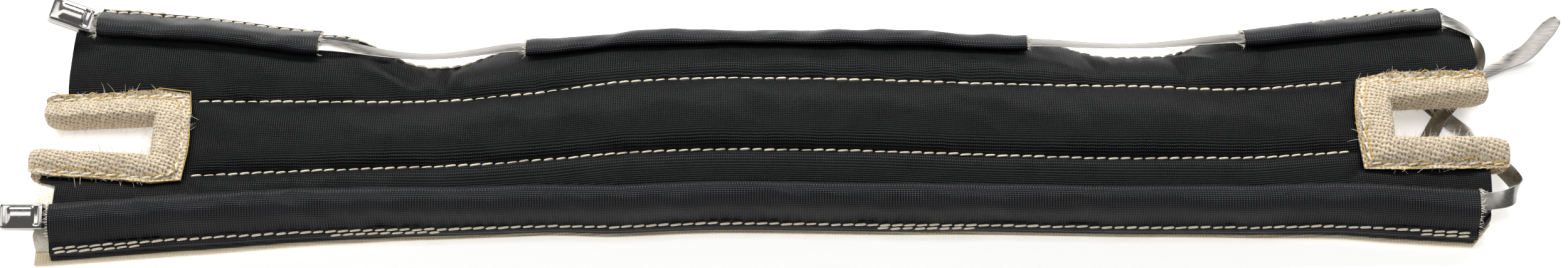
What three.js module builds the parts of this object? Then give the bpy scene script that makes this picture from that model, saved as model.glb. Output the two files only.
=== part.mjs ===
import * as THREE from 'three';
import { mergeVertices } from 'three/addons/utils/BufferGeometryUtils.js';

// Exhaust heat shield: a quilted insulation wrap for a hot pipe, laid open with its outer cover up.
// Two steel ties run in sewn casings along its long edges and would draw it closed round the pipe.
// Lengths are in millimetres and slopes in degrees. X runs along the shield, Y across it, Z up.

// Blanket: a liner, a felt core and a cover, stitched together
const LENGTH = 374;
const CHANNEL = 20.4;
const NEAR_PANEL = 20;
const FAR_PANEL = 25;
const LINER_THICKNESS = 1;
const CORE_LOFT = 4.2;
const CORE_PINCHED = 0.9;
const COVER_THICKNESS = 0.8;
const LINER_PROUD = 0.9;
const FELT_PROUD = 4.5;
const SEAM_DIP_REACH = 2.6;
const BEND_HALF_WIDTH = 3.5;
const GAP = 0.3;
const ROW_CLEARANCE = 1.2;
const RIGHT_END_SLANT = 0.7;

// Corners of the cover
const FAR_LEFT_CHAMFER = 3.3;
const FAR_RIGHT_CHAMFER = 4.5;
const NEAR_RIGHT_CHAMFER = 6;
const CORNER_LENGTH = 4.7;

// Scallops in the far edge. A ramp is the share of the width that each side takes. The tie runs bare
// between the two casing ends: it sags in and down from a straight line and leans over a little.
const SCALLOPS = [
  { centre: -92.5, width: 54, depth: 11, ramp: 0.46, bare: [-124.4, -68.6], sagIn: 1.3, sagDown: 3.2, tilt: 18 },
  { centre: 93.5, width: 54, depth: 8.8, ramp: 0.38, bare: [64.6, 122.7], sagIn: 0.7, sagDown: 1.6, tilt: 13 },
];
const SCALLOP_SEAM_MARGIN = 1.4;
const SCALLOP_PINCH_DEPTH = 4;
const SCALLOP_PINCH_REACH = 4;

// Notches in the two ends. Centre and half opening are given at the web and at the tips of the arms.
const NOTCHES = {
  left: { depth: 25, webCentre: 0, webHalf: 6.7, tipCentre: 1.6, tipHalf: 5.4, lowerReach: 4.5, upperReach: 2 },
  right: { depth: 25.4, webCentre: -2.3, webHalf: 6.2, tipCentre: -3, tipHalf: 6.8, lowerReach: 2, upperReach: -1.5 },
};
const NOTCH_BLEND = 30;
const NOTCH_HELD_TO = 1.3;
const NOTCH_PINCH = 0.35;
const NOTCH_PINCH_REACH = 6;

// Tape that binds each notch
const TAPE_THICKNESS = 1;
const TAPE_LEG = 6.8;
const TAPE_WEB_LEG = 8.5;
const TAPE_SEAM_INSET = 1.2;
const TAPE_PAST_ARM = 3.6;
const TAPE_EASE = 0.5;
const TAPE_NOSE = 0.3;
const TAPE_END_SIZE = 0.72;
const TAPE_BEND_FROM = 2;
const TAPE_BEND_BEFORE_SEAM = 0.8;

// Casings: strips of cloth folded lengthwise and sewn down along the edges
const CASING_CLOTH = 0.6;
const NEAR_CASING = { tail: 2.5, width: 10.6, height: 4.2, strapAt: 9.6 };
const FAR_CASING = { tail: 2, width: 10.6, height: 3.2, strapAt: 8.9 };
const CASING_EDGE_INSET = 0.3;
const CASING_BEND = 0.45;
const CASING_FOLD_ROUND = 0.9;
const CASING_PLY_GAP = 0.1;
// Places over a casing as shares of its width and height: its fold, shoulder, crown and flank
const CASING_FOLD_HEIGHT = 0.4;
const CASING_SHOULDER = { in: 0.8, height: 0.82 };
const CASING_CROWN = 0.62;
const CASING_FLANK = { at: 0.32, height: 0.84 };
const SEAM_FOOT = 0.7;
const FAR_CASING_LEFT_START = 6;
const FAR_CASING_RIGHT_END = 8.2;
const NEAR_CASING_RIGHT_END = 4;

// Steel ties
const BAND_WIDTH = 4.6;
const BAND_THICKNESS = 0.3;
const HEAD_LENGTH = 11;
const HEAD_WIDTH = 6.9;
const HEAD_HEIGHT = 4.2;
const HEAD_WALL = 0.5;
const BALL_DIAMETER = 2.2;
const STRAP_HEIGHT_IN_CASING = 1.75;
const HEAD_CORNER = 0.8;
const HEAD_CHANNEL_CLEARANCE = 0.3;
const HEAD_CREST_INSET = 0.6;
const HEAD_NARROWING = 0.4;
const BALL_CLEARANCE = 0.2;
const BALL_AT = -0.05;
// Head from its mouth side (-0.5) to its casing side (0.5): size of the section and rise of the channel
const HEAD_SHAPE = [
  { at: -0.5, size: 0.86, rise: 0 }, { at: -0.42, size: 0.97, rise: 0.15 }, { at: -0.25, size: 1, rise: 0.75 },
  { at: 0.05, size: 1, rise: 0.75 }, { at: 0.3, size: 1, rise: 0.3 }, { at: 0.5, size: 1, rise: 0.1 },
];
const BAND_SHARES_IN_HEAD = [-0.42, 0, 0.56];
const BAND_STEPS_FROM_HEAD = 9;
const BAND_TIP_TAPER = [0.45, 0.85];
const SAG_POWER = 2;
const FREE_END_STEPS = 3;

// Sewing thread
const THREAD_RADIUS = 0.38;
const THREAD_CLEARANCE = 0.2;
const SEAM_END_GAP = 1;

// Spacing of the stations along the shield
const STATION_STEP = 15;
const SCALLOP_STEPS = 8;
const LEAST_STEP = 1.5;
const RIGHT_END_STEP = 7;

// Slope of the near panel is found by trial: first value, number of trials and share of each correction
const PROFILE_REACH = 80;
const FIRST_NEAR_SLOPE = 10;
const SLOPE_TRIALS = 14;
const SLOPE_SHARE = 0.9;

// Cross-sections along the shield, from the left end (0) to the right end (1). Shift moves a section
// sideways, the three factors multiply the channel and the two panels where the cloth is gathered or
// flared, and mid, slope and edge are the slopes of the channel, the far panel and the far casing.
const SECTIONS = [
  { at: 0.0, shift: -1.6, channel: 1.16, near: 1.04, far: 1.28, mid: 0, slope: -1, edge: -5 },
  { at: 0.1, shift: -0.4, channel: 1.08, near: 0.98, far: 1.11, mid: 0, slope: -4, edge: -8 },
  { at: 0.18, shift: -0.8, channel: 1.01, near: 0.89, far: 0.99, mid: -3, slope: -8, edge: -12 },
  { at: 0.265, shift: -1.2, channel: 0.95, near: 0.86, far: 0.98, mid: -5, slope: -13, edge: -16 },
  { at: 0.34, shift: 0.3, channel: 0.96, near: 0.9, far: 0.88, mid: -3, slope: -21, edge: -23 },
  { at: 0.4, shift: 2.4, channel: 0.98, near: 1.01, far: 0.86, mid: 0, slope: -27, edge: -28 },
  { at: 0.47, shift: 3.4, channel: 0.98, near: 1.01, far: 0.86, mid: 0, slope: -27, edge: -28 },
  { at: 0.55, shift: 3.0, channel: 0.98, near: 1.01, far: 0.86, mid: 0, slope: -27, edge: -28 },
  { at: 0.66, shift: 1.6, channel: 0.98, near: 0.95, far: 0.86, mid: 0, slope: -26, edge: -28 },
  { at: 0.75, shift: 1.0, channel: 0.99, near: 0.94, far: 0.9, mid: 0, slope: -24, edge: -26 },
  { at: 0.82, shift: 1.0, channel: 0.97, near: 0.95, far: 0.94, mid: -3, slope: -19, edge: -21 },
  { at: 0.89, shift: 3.2, channel: 0.98, near: 1.03, far: 0.98, mid: -1, slope: -17, edge: -18 },
  { at: 0.93, shift: 4.6, channel: 1.02, near: 1.12, far: 1.0, mid: 0, slope: -15, edge: -16 },
  { at: 1.0, shift: 6.3, channel: 1.1, near: 1.24, far: 1.01, mid: 0, slope: -14, edge: -15 },
];

const LEFT_END = -LENGTH / 2 - 3;
const RIGHT_END = LEFT_END + LENGTH;
const LEFT_WEB = LEFT_END + NOTCHES.left.depth;
const RIGHT_WEB = RIGHT_END - NOTCHES.right.depth;
const TAPE_SEAM = TAPE_LEG - TAPE_SEAM_INSET;

const { clamp, degToRad, lerp, smoothstep } = THREE.MathUtils;

// Smooth curve through (at, value) pairs that never passes above or below its neighbouring values
function monotoneCurve(knots) {
  const slopes = knots.slice(1).map(([x, y], i) => (y - knots[i][1]) / (x - knots[i][0]));
  const tangents = knots.map((_, i) => {
    const before = slopes[i - 1] ?? slopes[i];
    const after = slopes[i] ?? slopes[i - 1];
    return before * after <= 0 ? 0 : (2 * before * after) / (before + after);
  });
  return (x) => {
    const last = knots.length - 1;
    if (x <= knots[0][0]) return knots[0][1];
    if (x >= knots[last][0]) return knots[last][1];
    const i = knots.findIndex(([at]) => at > x) - 1;
    const span = knots[i + 1][0] - knots[i][0];
    const t = (x - knots[i][0]) / span;
    const rise = t * t * (3 - 2 * t);
    const lead = t * (1 - t) ** 2 * span;
    const trail = t * t * (t - 1) * span;
    return lerp(knots[i][1], knots[i + 1][1], rise) + lead * tangents[i] + trail * tangents[i + 1];
  };
}

const sectionCurve = (name) => monotoneCurve(SECTIONS.map((s) => [LEFT_END + LENGTH * s.at, s[name]]));
const shiftAt = sectionCurve('shift');
const channelAt = sectionCurve('channel');
const nearAt = sectionCurve('near');
const farAt = sectionCurve('far');
const midSlopeAt = sectionCurve('mid');
const farSlopeAt = sectionCurve('slope');
const edgeSlopeAt = sectionCurve('edge');

// Pattern widths at x, measured across the shield from the middle of its channel
const seamHalf = (x) => (CHANNEL / 2) * channelAt(x);
const nearEdge = (x) => seamHalf(x) + NEAR_PANEL * nearAt(x);
const straightFarEdge = (x) => seamHalf(x) + FAR_PANEL * farAt(x);

function scallopDepth(x) {
  return SCALLOPS.reduce((depth, s) => {
    const fromSide = 0.5 - Math.abs(x - s.centre) / s.width;
    return depth + s.depth * smoothstep(fromSide, 0, s.ramp);
  }, 0);
}
const farEdge = (x) => straightFarEdge(x) - scallopDepth(x);
const farMargin = (x) => (scallopDepth(x) > 0.5 ? SCALLOP_SEAM_MARGIN : FAR_CASING.tail);

// Profile of the underside across the shield at x: slopes change evenly between these places, so each
// stretch is a straight line or an arc. The near panel takes the slope that lets both edges lie down.
function profileKnots(x, nearSlope) {
  const half = seamHalf(x);
  const edgeStart = straightFarEdge(x) - FAR_CASING.tail - FAR_CASING.width;
  return [
    [-PROFILE_REACH, nearSlope],
    [-half - BEND_HALF_WIDTH, nearSlope],
    [-half + BEND_HALF_WIDTH, midSlopeAt(x)],
    [half - BEND_HALF_WIDTH, midSlopeAt(x)],
    [half + BEND_HALF_WIDTH, farSlopeAt(x)],
    [edgeStart, edgeSlopeAt(x)],
    [PROFILE_REACH, edgeSlopeAt(x)],
  ].map(([v, slope]) => [v, degToRad(slope)]);
}

function walkProfile(knots) {
  const walked = [{ v: knots[0][0], angle: knots[0][1], y: 0, z: 0, turn: 0 }];
  for (let i = 1; i < knots.length; i += 1) {
    const from = walked[i - 1];
    from.turn = (knots[i][1] - from.angle) / (knots[i][0] - from.v);
    walked.push({ v: knots[i][0], angle: knots[i][1], turn: 0, ...advance(from, knots[i][0]) });
  }
  return walked;
}

function advance(from, v) {
  const run = v - from.v;
  const end = from.angle + from.turn * run;
  if (Math.abs(from.turn) < 1e-7) {
    return { y: from.y + run * Math.cos(end), z: from.z + run * Math.sin(end) };
  }
  return {
    y: from.y + (Math.sin(end) - Math.sin(from.angle)) / from.turn,
    z: from.z + (Math.cos(from.angle) - Math.cos(end)) / from.turn,
  };
}

function pointOnProfile(walked, v) {
  const from = walked.findLast((knot) => knot.v <= v) ?? walked[0];
  return { ...advance(from, v), angle: from.angle + from.turn * (v - from.v) };
}

const profiles = new Map();
function profileAt(x) {
  const key = clamp(x, LEFT_END, RIGHT_END).toFixed(3);
  if (!profiles.has(key)) {
    const at = Number(key);
    let nearSlope = FIRST_NEAR_SLOPE;
    let walked;
    for (let pass = 0; pass < SLOPE_TRIALS; pass += 1) {
      walked = walkProfile(profileKnots(at, nearSlope));
      const rise = pointOnProfile(walked, straightFarEdge(at)).z - pointOnProfile(walked, -nearEdge(at)).z;
      nearSlope -= THREE.MathUtils.radToDeg(rise / (nearEdge(at) - seamHalf(at))) * SLOPE_SHARE;
    }
    const middle = pointOnProfile(walked, 0);
    const edge = pointOnProfile(walked, -nearEdge(at));
    profiles.set(key, { walked, y: middle.y - shiftAt(at), z: edge.z });
  }
  return profiles.get(key);
}

// Point of the draped shield: x along it, v across its pattern and w above its underside
function drape(x, v, w) {
  const profile = profileAt(x);
  const { y, z, angle } = pointOnProfile(profile.walked, v);
  return new THREE.Vector3(x, y - profile.y - w * Math.sin(angle), z - profile.z + w * Math.cos(angle));
}

// Notch outlines: middle and half opening at x, held past the tips and faded out inside the webs
function notchShare(x, side) {
  const [web, end] = side === 'left' ? [LEFT_WEB, LEFT_END] : [RIGHT_WEB, RIGHT_END];
  return (x - web) / (end - web);
}
function notchCentre(x) {
  const side = x < 0 ? 'left' : 'right';
  const notch = NOTCHES[side];
  const share = notchShare(x, side);
  if (share >= 0) return lerp(notch.webCentre, notch.tipCentre, Math.min(share, NOTCH_HELD_TO));
  return notch.webCentre * clamp(1 + (share * notch.depth) / NOTCH_BLEND, 0, 1);
}
function notchHalf(x) {
  const side = x < 0 ? 'left' : 'right';
  const notch = NOTCHES[side];
  return lerp(notch.webHalf, notch.tipHalf, clamp(notchShare(x, side), 0, NOTCH_HELD_TO));
}

// Distance into the cloth from the cut edge of the nearer notch, with square corners, as a leg of the
// tape measures it: the tape reaches further over the web than over the arms
function notchDistance(x, v) {
  const beyondWeb = x < 0 ? x - LEFT_WEB : RIGHT_WEB - x;
  return Math.max((beyondWeb * TAPE_LEG) / TAPE_WEB_LEG, Math.abs(v - notchCentre(x)) - notchHalf(x));
}

// How far the felt stands up between seams: 1 in the open, 0 on a seam
function loft(x, v) {
  const half = seamHalf(x);
  const quilted = smoothstep(notchDistance(x, 0), TAPE_LEG - 4, TAPE_LEG + 2);
  const dip = (distance, reach = SEAM_DIP_REACH) => Math.exp(-Math.abs(distance) / reach);
  const channelSeams = quilted * Math.max(dip(v - half), dip(v + half));
  const nearSeam = dip(v + nearEdge(x) - NEAR_CASING.tail);
  const farReach = SEAM_DIP_REACH + clamp(scallopDepth(x) / SCALLOP_PINCH_DEPTH, 0, 1) * SCALLOP_PINCH_REACH;
  const farSeam = dip(v - farEdge(x) + farMargin(x), farReach);
  const fromNotch = notchDistance(x, v);
  const tapeSeam = dip(fromNotch - TAPE_SEAM);
  const pinch = NOTCH_PINCH * Math.exp(-Math.max(fromNotch, 0) / NOTCH_PINCH_REACH);
  return (1 - channelSeams) * (1 - nearSeam) * (1 - farSeam) * (1 - tapeSeam) * (1 - pinch);
}

// Heights above the underside. Past the edge seams there is no felt, and cover and liner close up.
function feltShare(x, v) {
  const margin = v < 0 ? (nearEdge(x) + v) / NEAR_CASING.tail : (farEdge(x) - v) / farMargin(x);
  return clamp(margin, 0, 1);
}
const coreBottom = LINER_THICKNESS + GAP;
const coreTop = (x, v) => coreBottom + lerp(CORE_PINCHED, CORE_LOFT, loft(x, v));
const coverBottom = (x, v) => coreBottom + feltShare(x, v) * (coreTop(x, v) + GAP - coreBottom);
const coverTop = (x, v) => coverBottom(x, v) + COVER_THICKNESS;

// Rows of the pattern at x, from the near edge to the far edge
const ROWS = ['nearEdge', 'nearSeam', 'nearStrap', 'nearFold', 'nearTape', 'nearQuilt', 'notchNear', 'centre',
  'notchFar', 'farQuilt', 'farTape', 'farFold', 'farStrap', 'farSeam', 'farEdge'];
const ROW = Object.fromEntries(ROWS.map((name, j) => [name, j]));

function rowsAt(x) {
  const near = nearEdge(x);
  const far = farEdge(x);
  const half = seamHalf(x);
  const farSeam = far - farMargin(x);
  const foldRow = Math.max(farSeam - FAR_CASING.width, half + 2 * ROW_CLEARANCE);
  const notchNear = notchCentre(x) - notchHalf(x);
  const notchFar = notchCentre(x) + notchHalf(x);
  const nearFold = near - NEAR_CASING.tail - NEAR_CASING.width;
  return [
    -near,
    -near + NEAR_CASING.tail,
    -lerp(near - NEAR_CASING.tail, nearFold, CASING_BEND),
    -nearFold,
    Math.min(notchNear - TAPE_SEAM, -half - ROW_CLEARANCE),
    -half,
    notchNear,
    notchCentre(x),
    notchFar,
    half,
    Math.max(notchFar + TAPE_SEAM, half + ROW_CLEARANCE),
    foldRow,
    lerp(farSeam, foldRow, CASING_BEND),
    farSeam,
    far,
  ];
}

// Top of the cover as its facets run, straight from row to row
function facetedCoverTop(x, v) {
  const rows = rowsAt(x);
  const above = rows.findIndex((row) => row > v);
  const j = above < 0 ? rows.length - 1 : Math.max(above, 1);
  const share = clamp((v - rows[j - 1]) / (rows[j] - rows[j - 1]), 0, 1);
  return lerp(coverTop(x, rows[j - 1]), coverTop(x, rows[j]), share);
}

// Stations along the shield: every place where a piece begins or ends, with even steps between
function stations() {
  const farLeftStart = LEFT_END + FAR_CASING_LEFT_START;
  const pinned = [
    LEFT_END, LEFT_END + CORNER_LENGTH, farLeftStart, lerp(farLeftStart, LEFT_WEB, 0.5),
    LEFT_WEB, LEFT_WEB + TAPE_WEB_LEG,
    RIGHT_WEB - TAPE_WEB_LEG, RIGHT_WEB,
    RIGHT_WEB + RIGHT_END_STEP,
    RIGHT_END - CORNER_LENGTH - RIGHT_END_STEP,
    RIGHT_END - FAR_CASING_RIGHT_END, RIGHT_END - NEAR_CASING_RIGHT_END,
    RIGHT_END,
  ];
  SCALLOPS.forEach(({ centre, width, bare }) => {
    const steps = Array.from({ length: SCALLOP_STEPS + 1 }, (_, k) => centre + width * (k / SCALLOP_STEPS - 0.5));
    pinned.push(...bare, ...steps.filter((x) => bare.every((end) => Math.abs(x - end) > LEAST_STEP)));
  });
  pinned.sort((a, b) => a - b);
  const all = [];
  pinned.forEach((x, i) => {
    all.push(x);
    const next = pinned[i + 1] ?? x;
    const extra = Math.ceil((next - x) / STATION_STEP) - 1;
    for (let k = 1; k <= extra; k += 1) all.push(lerp(x, next, k / (extra + 1)));
  });
  return all;
}
const STATIONS = stations();
const between = (from, to) => STATIONS.filter((x) => x > from - 0.01 && x < to + 0.01);

// Closed sheet from a grid of cells: a face above, a face below and walls round every open side
function closedSheet(columns, rows, place, keep) {
  const positions = [];
  const index = [];
  const numbers = new Map();
  const vertex = (i, j, face) => {
    const key = `${i} ${j} ${face}`;
    if (!numbers.has(key)) {
      numbers.set(key, positions.length / 3);
      positions.push(...place(i, j, face).toArray());
    }
    return numbers.get(key);
  };
  const quad = (a, b, c, d) => index.push(a, b, c, a, c, d);
  const kept = (i, j) => i >= 0 && j >= 0 && i < columns - 1 && j < rows - 1 && keep(i, j);
  const wall = ([i0, j0], [i1, j1]) => {
    quad(vertex(i0, j0, 0), vertex(i1, j1, 0), vertex(i1, j1, 1), vertex(i0, j0, 1));
  };
  for (let i = 0; i < columns - 1; i += 1) {
    for (let j = 0; j < rows - 1; j += 1) {
      if (!keep(i, j)) continue;
      quad(vertex(i, j, 1), vertex(i + 1, j, 1), vertex(i + 1, j + 1, 1), vertex(i, j + 1, 1));
      quad(vertex(i, j, 0), vertex(i, j + 1, 0), vertex(i + 1, j + 1, 0), vertex(i + 1, j, 0));
      if (!kept(i, j - 1)) wall([i, j], [i + 1, j]);
      if (!kept(i + 1, j)) wall([i + 1, j], [i + 1, j + 1]);
      if (!kept(i, j + 1)) wall([i + 1, j + 1], [i, j + 1]);
      if (!kept(i - 1, j)) wall([i, j + 1], [i, j]);
    }
  }
  return solid(positions, index);
}

// Closed sweep of a flat outline, with an optional hole, through a row of places
function sweep(count, outline, hole, place) {
  const loop = [...outline, ...hole];
  const positions = [];
  for (let k = 0; k < count; k += 1) loop.forEach((point) => positions.push(...place(k, point).toArray()));
  const index = [];
  const sides = (start, length, outward) => {
    for (let k = 0; k < count - 1; k += 1) {
      for (let i = 0; i < length; i += 1) {
        const a = k * loop.length + start + i;
        const b = k * loop.length + start + ((i + 1) % length);
        const quad = [a, b, b + loop.length, a, b + loop.length, a + loop.length];
        index.push(...(outward ? quad : quad.reverse()));
      }
    }
  };
  sides(0, outline.length, true);
  sides(outline.length, hole.length, false);
  // A slight bow keeps points that lie in a straight row from being skipped by the end faces
  const flat = loop.map(([a, h]) => new THREE.Vector2(a, h + 0.005 * a * a));
  const holes = hole.length ? [flat.slice(outline.length)] : [];
  const faces = THREE.ShapeUtils.triangulateShape(flat.slice(0, outline.length), holes);
  faces.forEach(([a, b, c]) => {
    const area = flat[b].clone().sub(flat[a]).cross(flat[c].clone().sub(flat[a]));
    const [p, q] = area > 0 ? [b, c] : [c, b];
    const end = (count - 1) * loop.length;
    index.push(a, q, p, end + a, end + p, end + q);
  });
  return solid(positions, index);
}

// Geometry whose faces all point out
function solid(positions, index) {
  const at = (i) => new THREE.Vector3().fromArray(positions, 3 * i);
  let volume = 0;
  for (let i = 0; i < index.length; i += 3) {
    volume += at(index[i]).dot(at(index[i + 1]).cross(at(index[i + 2])));
  }
  const geometry = new THREE.BufferGeometry();
  geometry.setAttribute('position', new THREE.Float32BufferAttribute(positions, 3));
  geometry.setIndex(volume > 0 ? index : index.slice().reverse());
  return geometry;
}

// How far each row runs past an end of the cover
function overhang(j, side, felt) {
  const notch = NOTCHES[side];
  if (j === ROW.nearQuilt || j === ROW.notchNear) return notch.lowerReach;
  if (j === ROW.farQuilt || j === ROW.notchFar) return notch.upperReach;
  if (j < ROW.nearQuilt) return felt && side === 'left' ? FELT_PROUD : 0;
  if (side === 'right' && j > ROW.farTape) return -(j - ROW.farTape) * RIGHT_END_SLANT;
  return 0;
}

function stationOfRow(x, j, felt) {
  const side = x < 0 ? 'left' : 'right';
  const share = notchShare(x, side);
  if (share <= 0) return x;
  const outward = side === 'left' ? -1 : 1;
  return x + outward * share * overhang(j, side, felt);
}

// Corners are cut off over the last step of each end
function cornerCut(i, j) {
  const last = STATIONS.length - 1;
  if (i === 0 && j > ROW.farTape) return FAR_LEFT_CHAMFER;
  if (i === last && j > ROW.farTape) return FAR_RIGHT_CHAMFER;
  if (i === last && j < ROW.nearTape) return -NEAR_RIGHT_CHAMFER;
  return 0;
}

// One layer of the blanket. Height gives its bottom and top, and proud widens it past the near edge.
function layer({ firstRow, lastRow, heights, felt, proud }) {
  const rowCount = lastRow - firstRow + 1;
  const place = (i, jLocal, face) => {
    const j = firstRow + jLocal;
    const x = stationOfRow(STATIONS[i], j, felt);
    const rows = rowsAt(STATIONS[i]);
    const edgeRow = j > ROW.centre ? rows[ROW.farEdge] : -rows[ROW.nearEdge];
    const depth = Math.abs(rows[j]) / edgeRow;
    const v = rows[j] - cornerCut(i, j) * depth - (j === ROW.nearEdge ? proud : 0);
    return drape(x, v, heights(STATIONS[i], rows[j])[face]);
  };
  const keep = (i, jLocal) => {
    const j = firstRow + jLocal;
    const middle = (STATIONS[i] + STATIONS[i + 1]) / 2;
    const inNotch = middle < LEFT_WEB || middle > RIGHT_WEB;
    return !(inNotch && j >= ROW.notchNear && j < ROW.notchFar);
  };
  return closedSheet(STATIONS.length, rowCount, place, keep);
}

const cover = () => layer({
  firstRow: ROW.nearEdge,
  lastRow: ROW.farEdge,
  heights: (x, v) => [coverBottom(x, v), coverTop(x, v)],
  felt: false,
  proud: 0,
});
const core = () => layer({
  firstRow: ROW.nearSeam,
  lastRow: ROW.farSeam,
  heights: (x, v) => [coreBottom, coreTop(x, v)],
  felt: true,
  proud: 0,
});
const liner = () => layer({
  firstRow: ROW.nearEdge,
  lastRow: ROW.farEdge,
  heights: () => [0, LINER_THICKNESS],
  felt: true,
  proud: LINER_PROUD,
});

// Outline of a folded casing, as distance in from the shield's edge and height above the cover
function casingOutline({ tail, width, height }) {
  const ply = CASING_CLOTH;
  const fold = tail + width;
  const bend = tail + CASING_BEND * width;
  const shoulder = fold - CASING_SHOULDER.in;
  const shoulderTop = GAP + CASING_SHOULDER.height * height;
  const crown = tail + CASING_CROWN * width;
  const flank = tail + CASING_FLANK.at * width;
  const flankTop = GAP + CASING_FLANK.height * height;
  return {
    outline: [
      [CASING_EDGE_INSET, GAP], [tail, GAP], [bend, GAP], [fold - CASING_FOLD_ROUND, GAP],
      [fold, GAP + CASING_FOLD_HEIGHT * height], [shoulder, shoulderTop], [crown, GAP + height],
      [flank, flankTop], [tail, GAP + 2 * ply + CASING_PLY_GAP], [CASING_EDGE_INSET, GAP + 2 * ply],
    ],
    hole: [
      [tail + CASING_FOLD_ROUND, GAP + ply], [bend, GAP + ply], [fold - 2 * ply, GAP + ply],
      [fold - ply, GAP + CASING_FOLD_HEIGHT * height], [shoulder - 0.7 * ply, shoulderTop - 0.7 * ply],
      [crown, GAP + height - ply], [flank + ply / 2, flankTop - ply],
    ],
  };
}

function casing(size, edgeOf, sign, from, to) {
  const { outline, hole } = casingOutline(size);
  const xs = between(from, to);
  return sweep(xs.length, outline, hole, (k, [inset, height]) => {
    const v = sign * (edgeOf(xs[k]) - inset);
    return drape(xs[k], v, facetedCoverTop(xs[k], v) + height);
  });
}

const nearCasing = () => casing(NEAR_CASING, nearEdge, -1, LEFT_END, RIGHT_END - NEAR_CASING_RIGHT_END);
const scallopAt = (x) => SCALLOPS.findIndex(({ bare }) => x > bare[0] + 0.01 && x < bare[1] - 0.01);
const farCasing = (from, to) => casing(FAR_CASING, straightFarEdge, 1, from, to);

// Tape folded over the cut edge of a notch: up one arm, across the web and down the other arm
function notchPath(side) {
  const outward = side === 'left' ? -1 : 1;
  const notch = NOTCHES[side];
  const [web, end] = side === 'left' ? [LEFT_WEB, LEFT_END] : [RIGHT_WEB, RIGHT_END];
  const arm = (lower) => {
    const reach = end + outward * (lower ? notch.lowerReach : notch.upperReach);
    const places = [
      reach + outward * TAPE_PAST_ARM, reach + outward * TAPE_EASE, lerp(reach, web, 1 / 3), lerp(reach, web, 2 / 3),
    ];
    const edge = (x) => notchCentre(x) + (lower ? -1 : 1) * notchHalf(x);
    return places.map((x, i) => (
      { x, v: edge(x), intoX: 0, intoV: lower ? -1 : 1, size: i === 0 ? TAPE_END_SIZE : 1 }
    ));
  };
  const intoWeb = (-outward * TAPE_WEB_LEG) / TAPE_LEG;
  const corner = (lower) => ({
    x: web, v: notch.webCentre + (lower ? -1 : 1) * notch.webHalf, intoX: intoWeb, intoV: lower ? -1 : 1, size: 1,
  });
  const webPlaces = [-0.4, 0.4].map((share) => ({
    x: web, v: notch.webCentre + share * notch.webHalf, intoX: intoWeb, intoV: 0, size: 1,
  }));
  return [...arm(true), corner(true), ...webPlaces, corner(false), ...arm(false).reverse()];
}

// Top of the tape over the cloth: straight from the cut edge to a bend and on to the end of the leg
function tapeBend({ v, x, intoX }) {
  return intoX ? TAPE_LEG / 2 : clamp(seamHalf(x) - Math.abs(v), TAPE_BEND_FROM, TAPE_SEAM - TAPE_BEND_BEFORE_SEAM);
}
function underTape(place, into) {
  const depth = Math.max(into, 0);
  return facetedCoverTop(place.x + place.intoX * depth, place.v + place.intoV * depth) + GAP + TAPE_EASE;
}
function tapeTop(place, into) {
  const bend = tapeBend(place);
  const share = (into - bend) / (TAPE_LEG - bend);
  return TAPE_THICKNESS + lerp(underTape(place, bend), underTape(place, TAPE_LEG), share);
}

function binding(side) {
  const path = notchPath(side);
  const tape = TAPE_THICKNESS;
  const outside = -GAP - tape;
  // Each point is a distance into the cloth, the face that it follows, top (1) or bottom (0), and a rise
  const bend = TAPE_LEG / 2;
  const shoulder = outside + TAPE_NOSE;
  const outline = [
    [TAPE_LEG, 1, 0], [TAPE_LEG, 1, tape], [bend, 1, tape], [TAPE_EASE, 1, tape], [shoulder, 1, tape / 2],
    [outside, 1, -tape / 2], [outside, 0, tape / 2], [shoulder, 0, -tape / 2], [TAPE_EASE, 0, -tape],
    [bend, 0, -tape], [TAPE_LEG, 0, -tape], [TAPE_LEG, 0, 0], [bend, 0, 0], [-GAP, 0, 0], [-GAP, 1, 0], [bend, 1, 0],
  ];
  const flat = outline.map(([into, face, rise]) => [into, 6 * face + rise]);
  return sweep(path.length, flat, [], (k, point) => {
    const place = path[k];
    const [drawn, face, rise] = outline[flat.indexOf(point)];
    const into = drawn === bend ? tapeBend(place) : drawn;
    const depth = lerp((TAPE_LEG + outside) / 2, into, place.size);
    const height = lerp(-GAP, underTape(place, into), face) + rise;
    const w = lerp(coverTop(place.x, place.v) / 2, height, place.size);
    return drape(place.x + place.intoX * depth, place.v + place.intoV * depth, w);
  });
}

// Sewing thread laid along a path of pattern places
function thread(path) {
  const r = THREAD_RADIUS;
  const outline = [[-r, 0], [0, -r], [r, 0], [0, r]];
  return sweep(path.length, outline, [], (k, [across, up]) => {
    const { x, v, w, intoX = 0, intoV = 1 } = path[k];
    return drape(x + intoX * across, v + intoV * across, w + THREAD_CLEARANCE + r + up);
  });
}

function quiltingSeam(sign) {
  const xs = between(LEFT_WEB + TAPE_WEB_LEG, RIGHT_WEB - TAPE_WEB_LEG).slice(1, -1);
  const ends = [LEFT_WEB + TAPE_WEB_LEG + SEAM_END_GAP, RIGHT_WEB - TAPE_WEB_LEG - SEAM_END_GAP];
  return thread([ends[0], ...xs, ends[1]].map((x) => {
    const v = sign * seamHalf(x);
    return { x, v, w: facetedCoverTop(x, v) };
  }));
}

const seamOnCasing = GAP + 2 * CASING_CLOTH + CASING_PLY_GAP;
function nearEdgeSeam() {
  return thread(between(LEFT_END, RIGHT_END - NEAR_CASING_RIGHT_END).map((x) => {
    const v = NEAR_CASING.tail - SEAM_FOOT - nearEdge(x);
    return { x, v, w: facetedCoverTop(x, v) + seamOnCasing };
  }));
}

function farEdgeSeam() {
  const xs = between(LEFT_END + FAR_CASING_LEFT_START, RIGHT_END - FAR_CASING_RIGHT_END);
  return thread(xs.map((x) => {
    const bare = scallopAt(x) >= 0;
    const v = farEdge(x) - farMargin(x) + (bare ? 0 : SEAM_FOOT);
    return { x, v, w: facetedCoverTop(x, v) + (bare ? 0 : seamOnCasing) };
  }));
}

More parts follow.
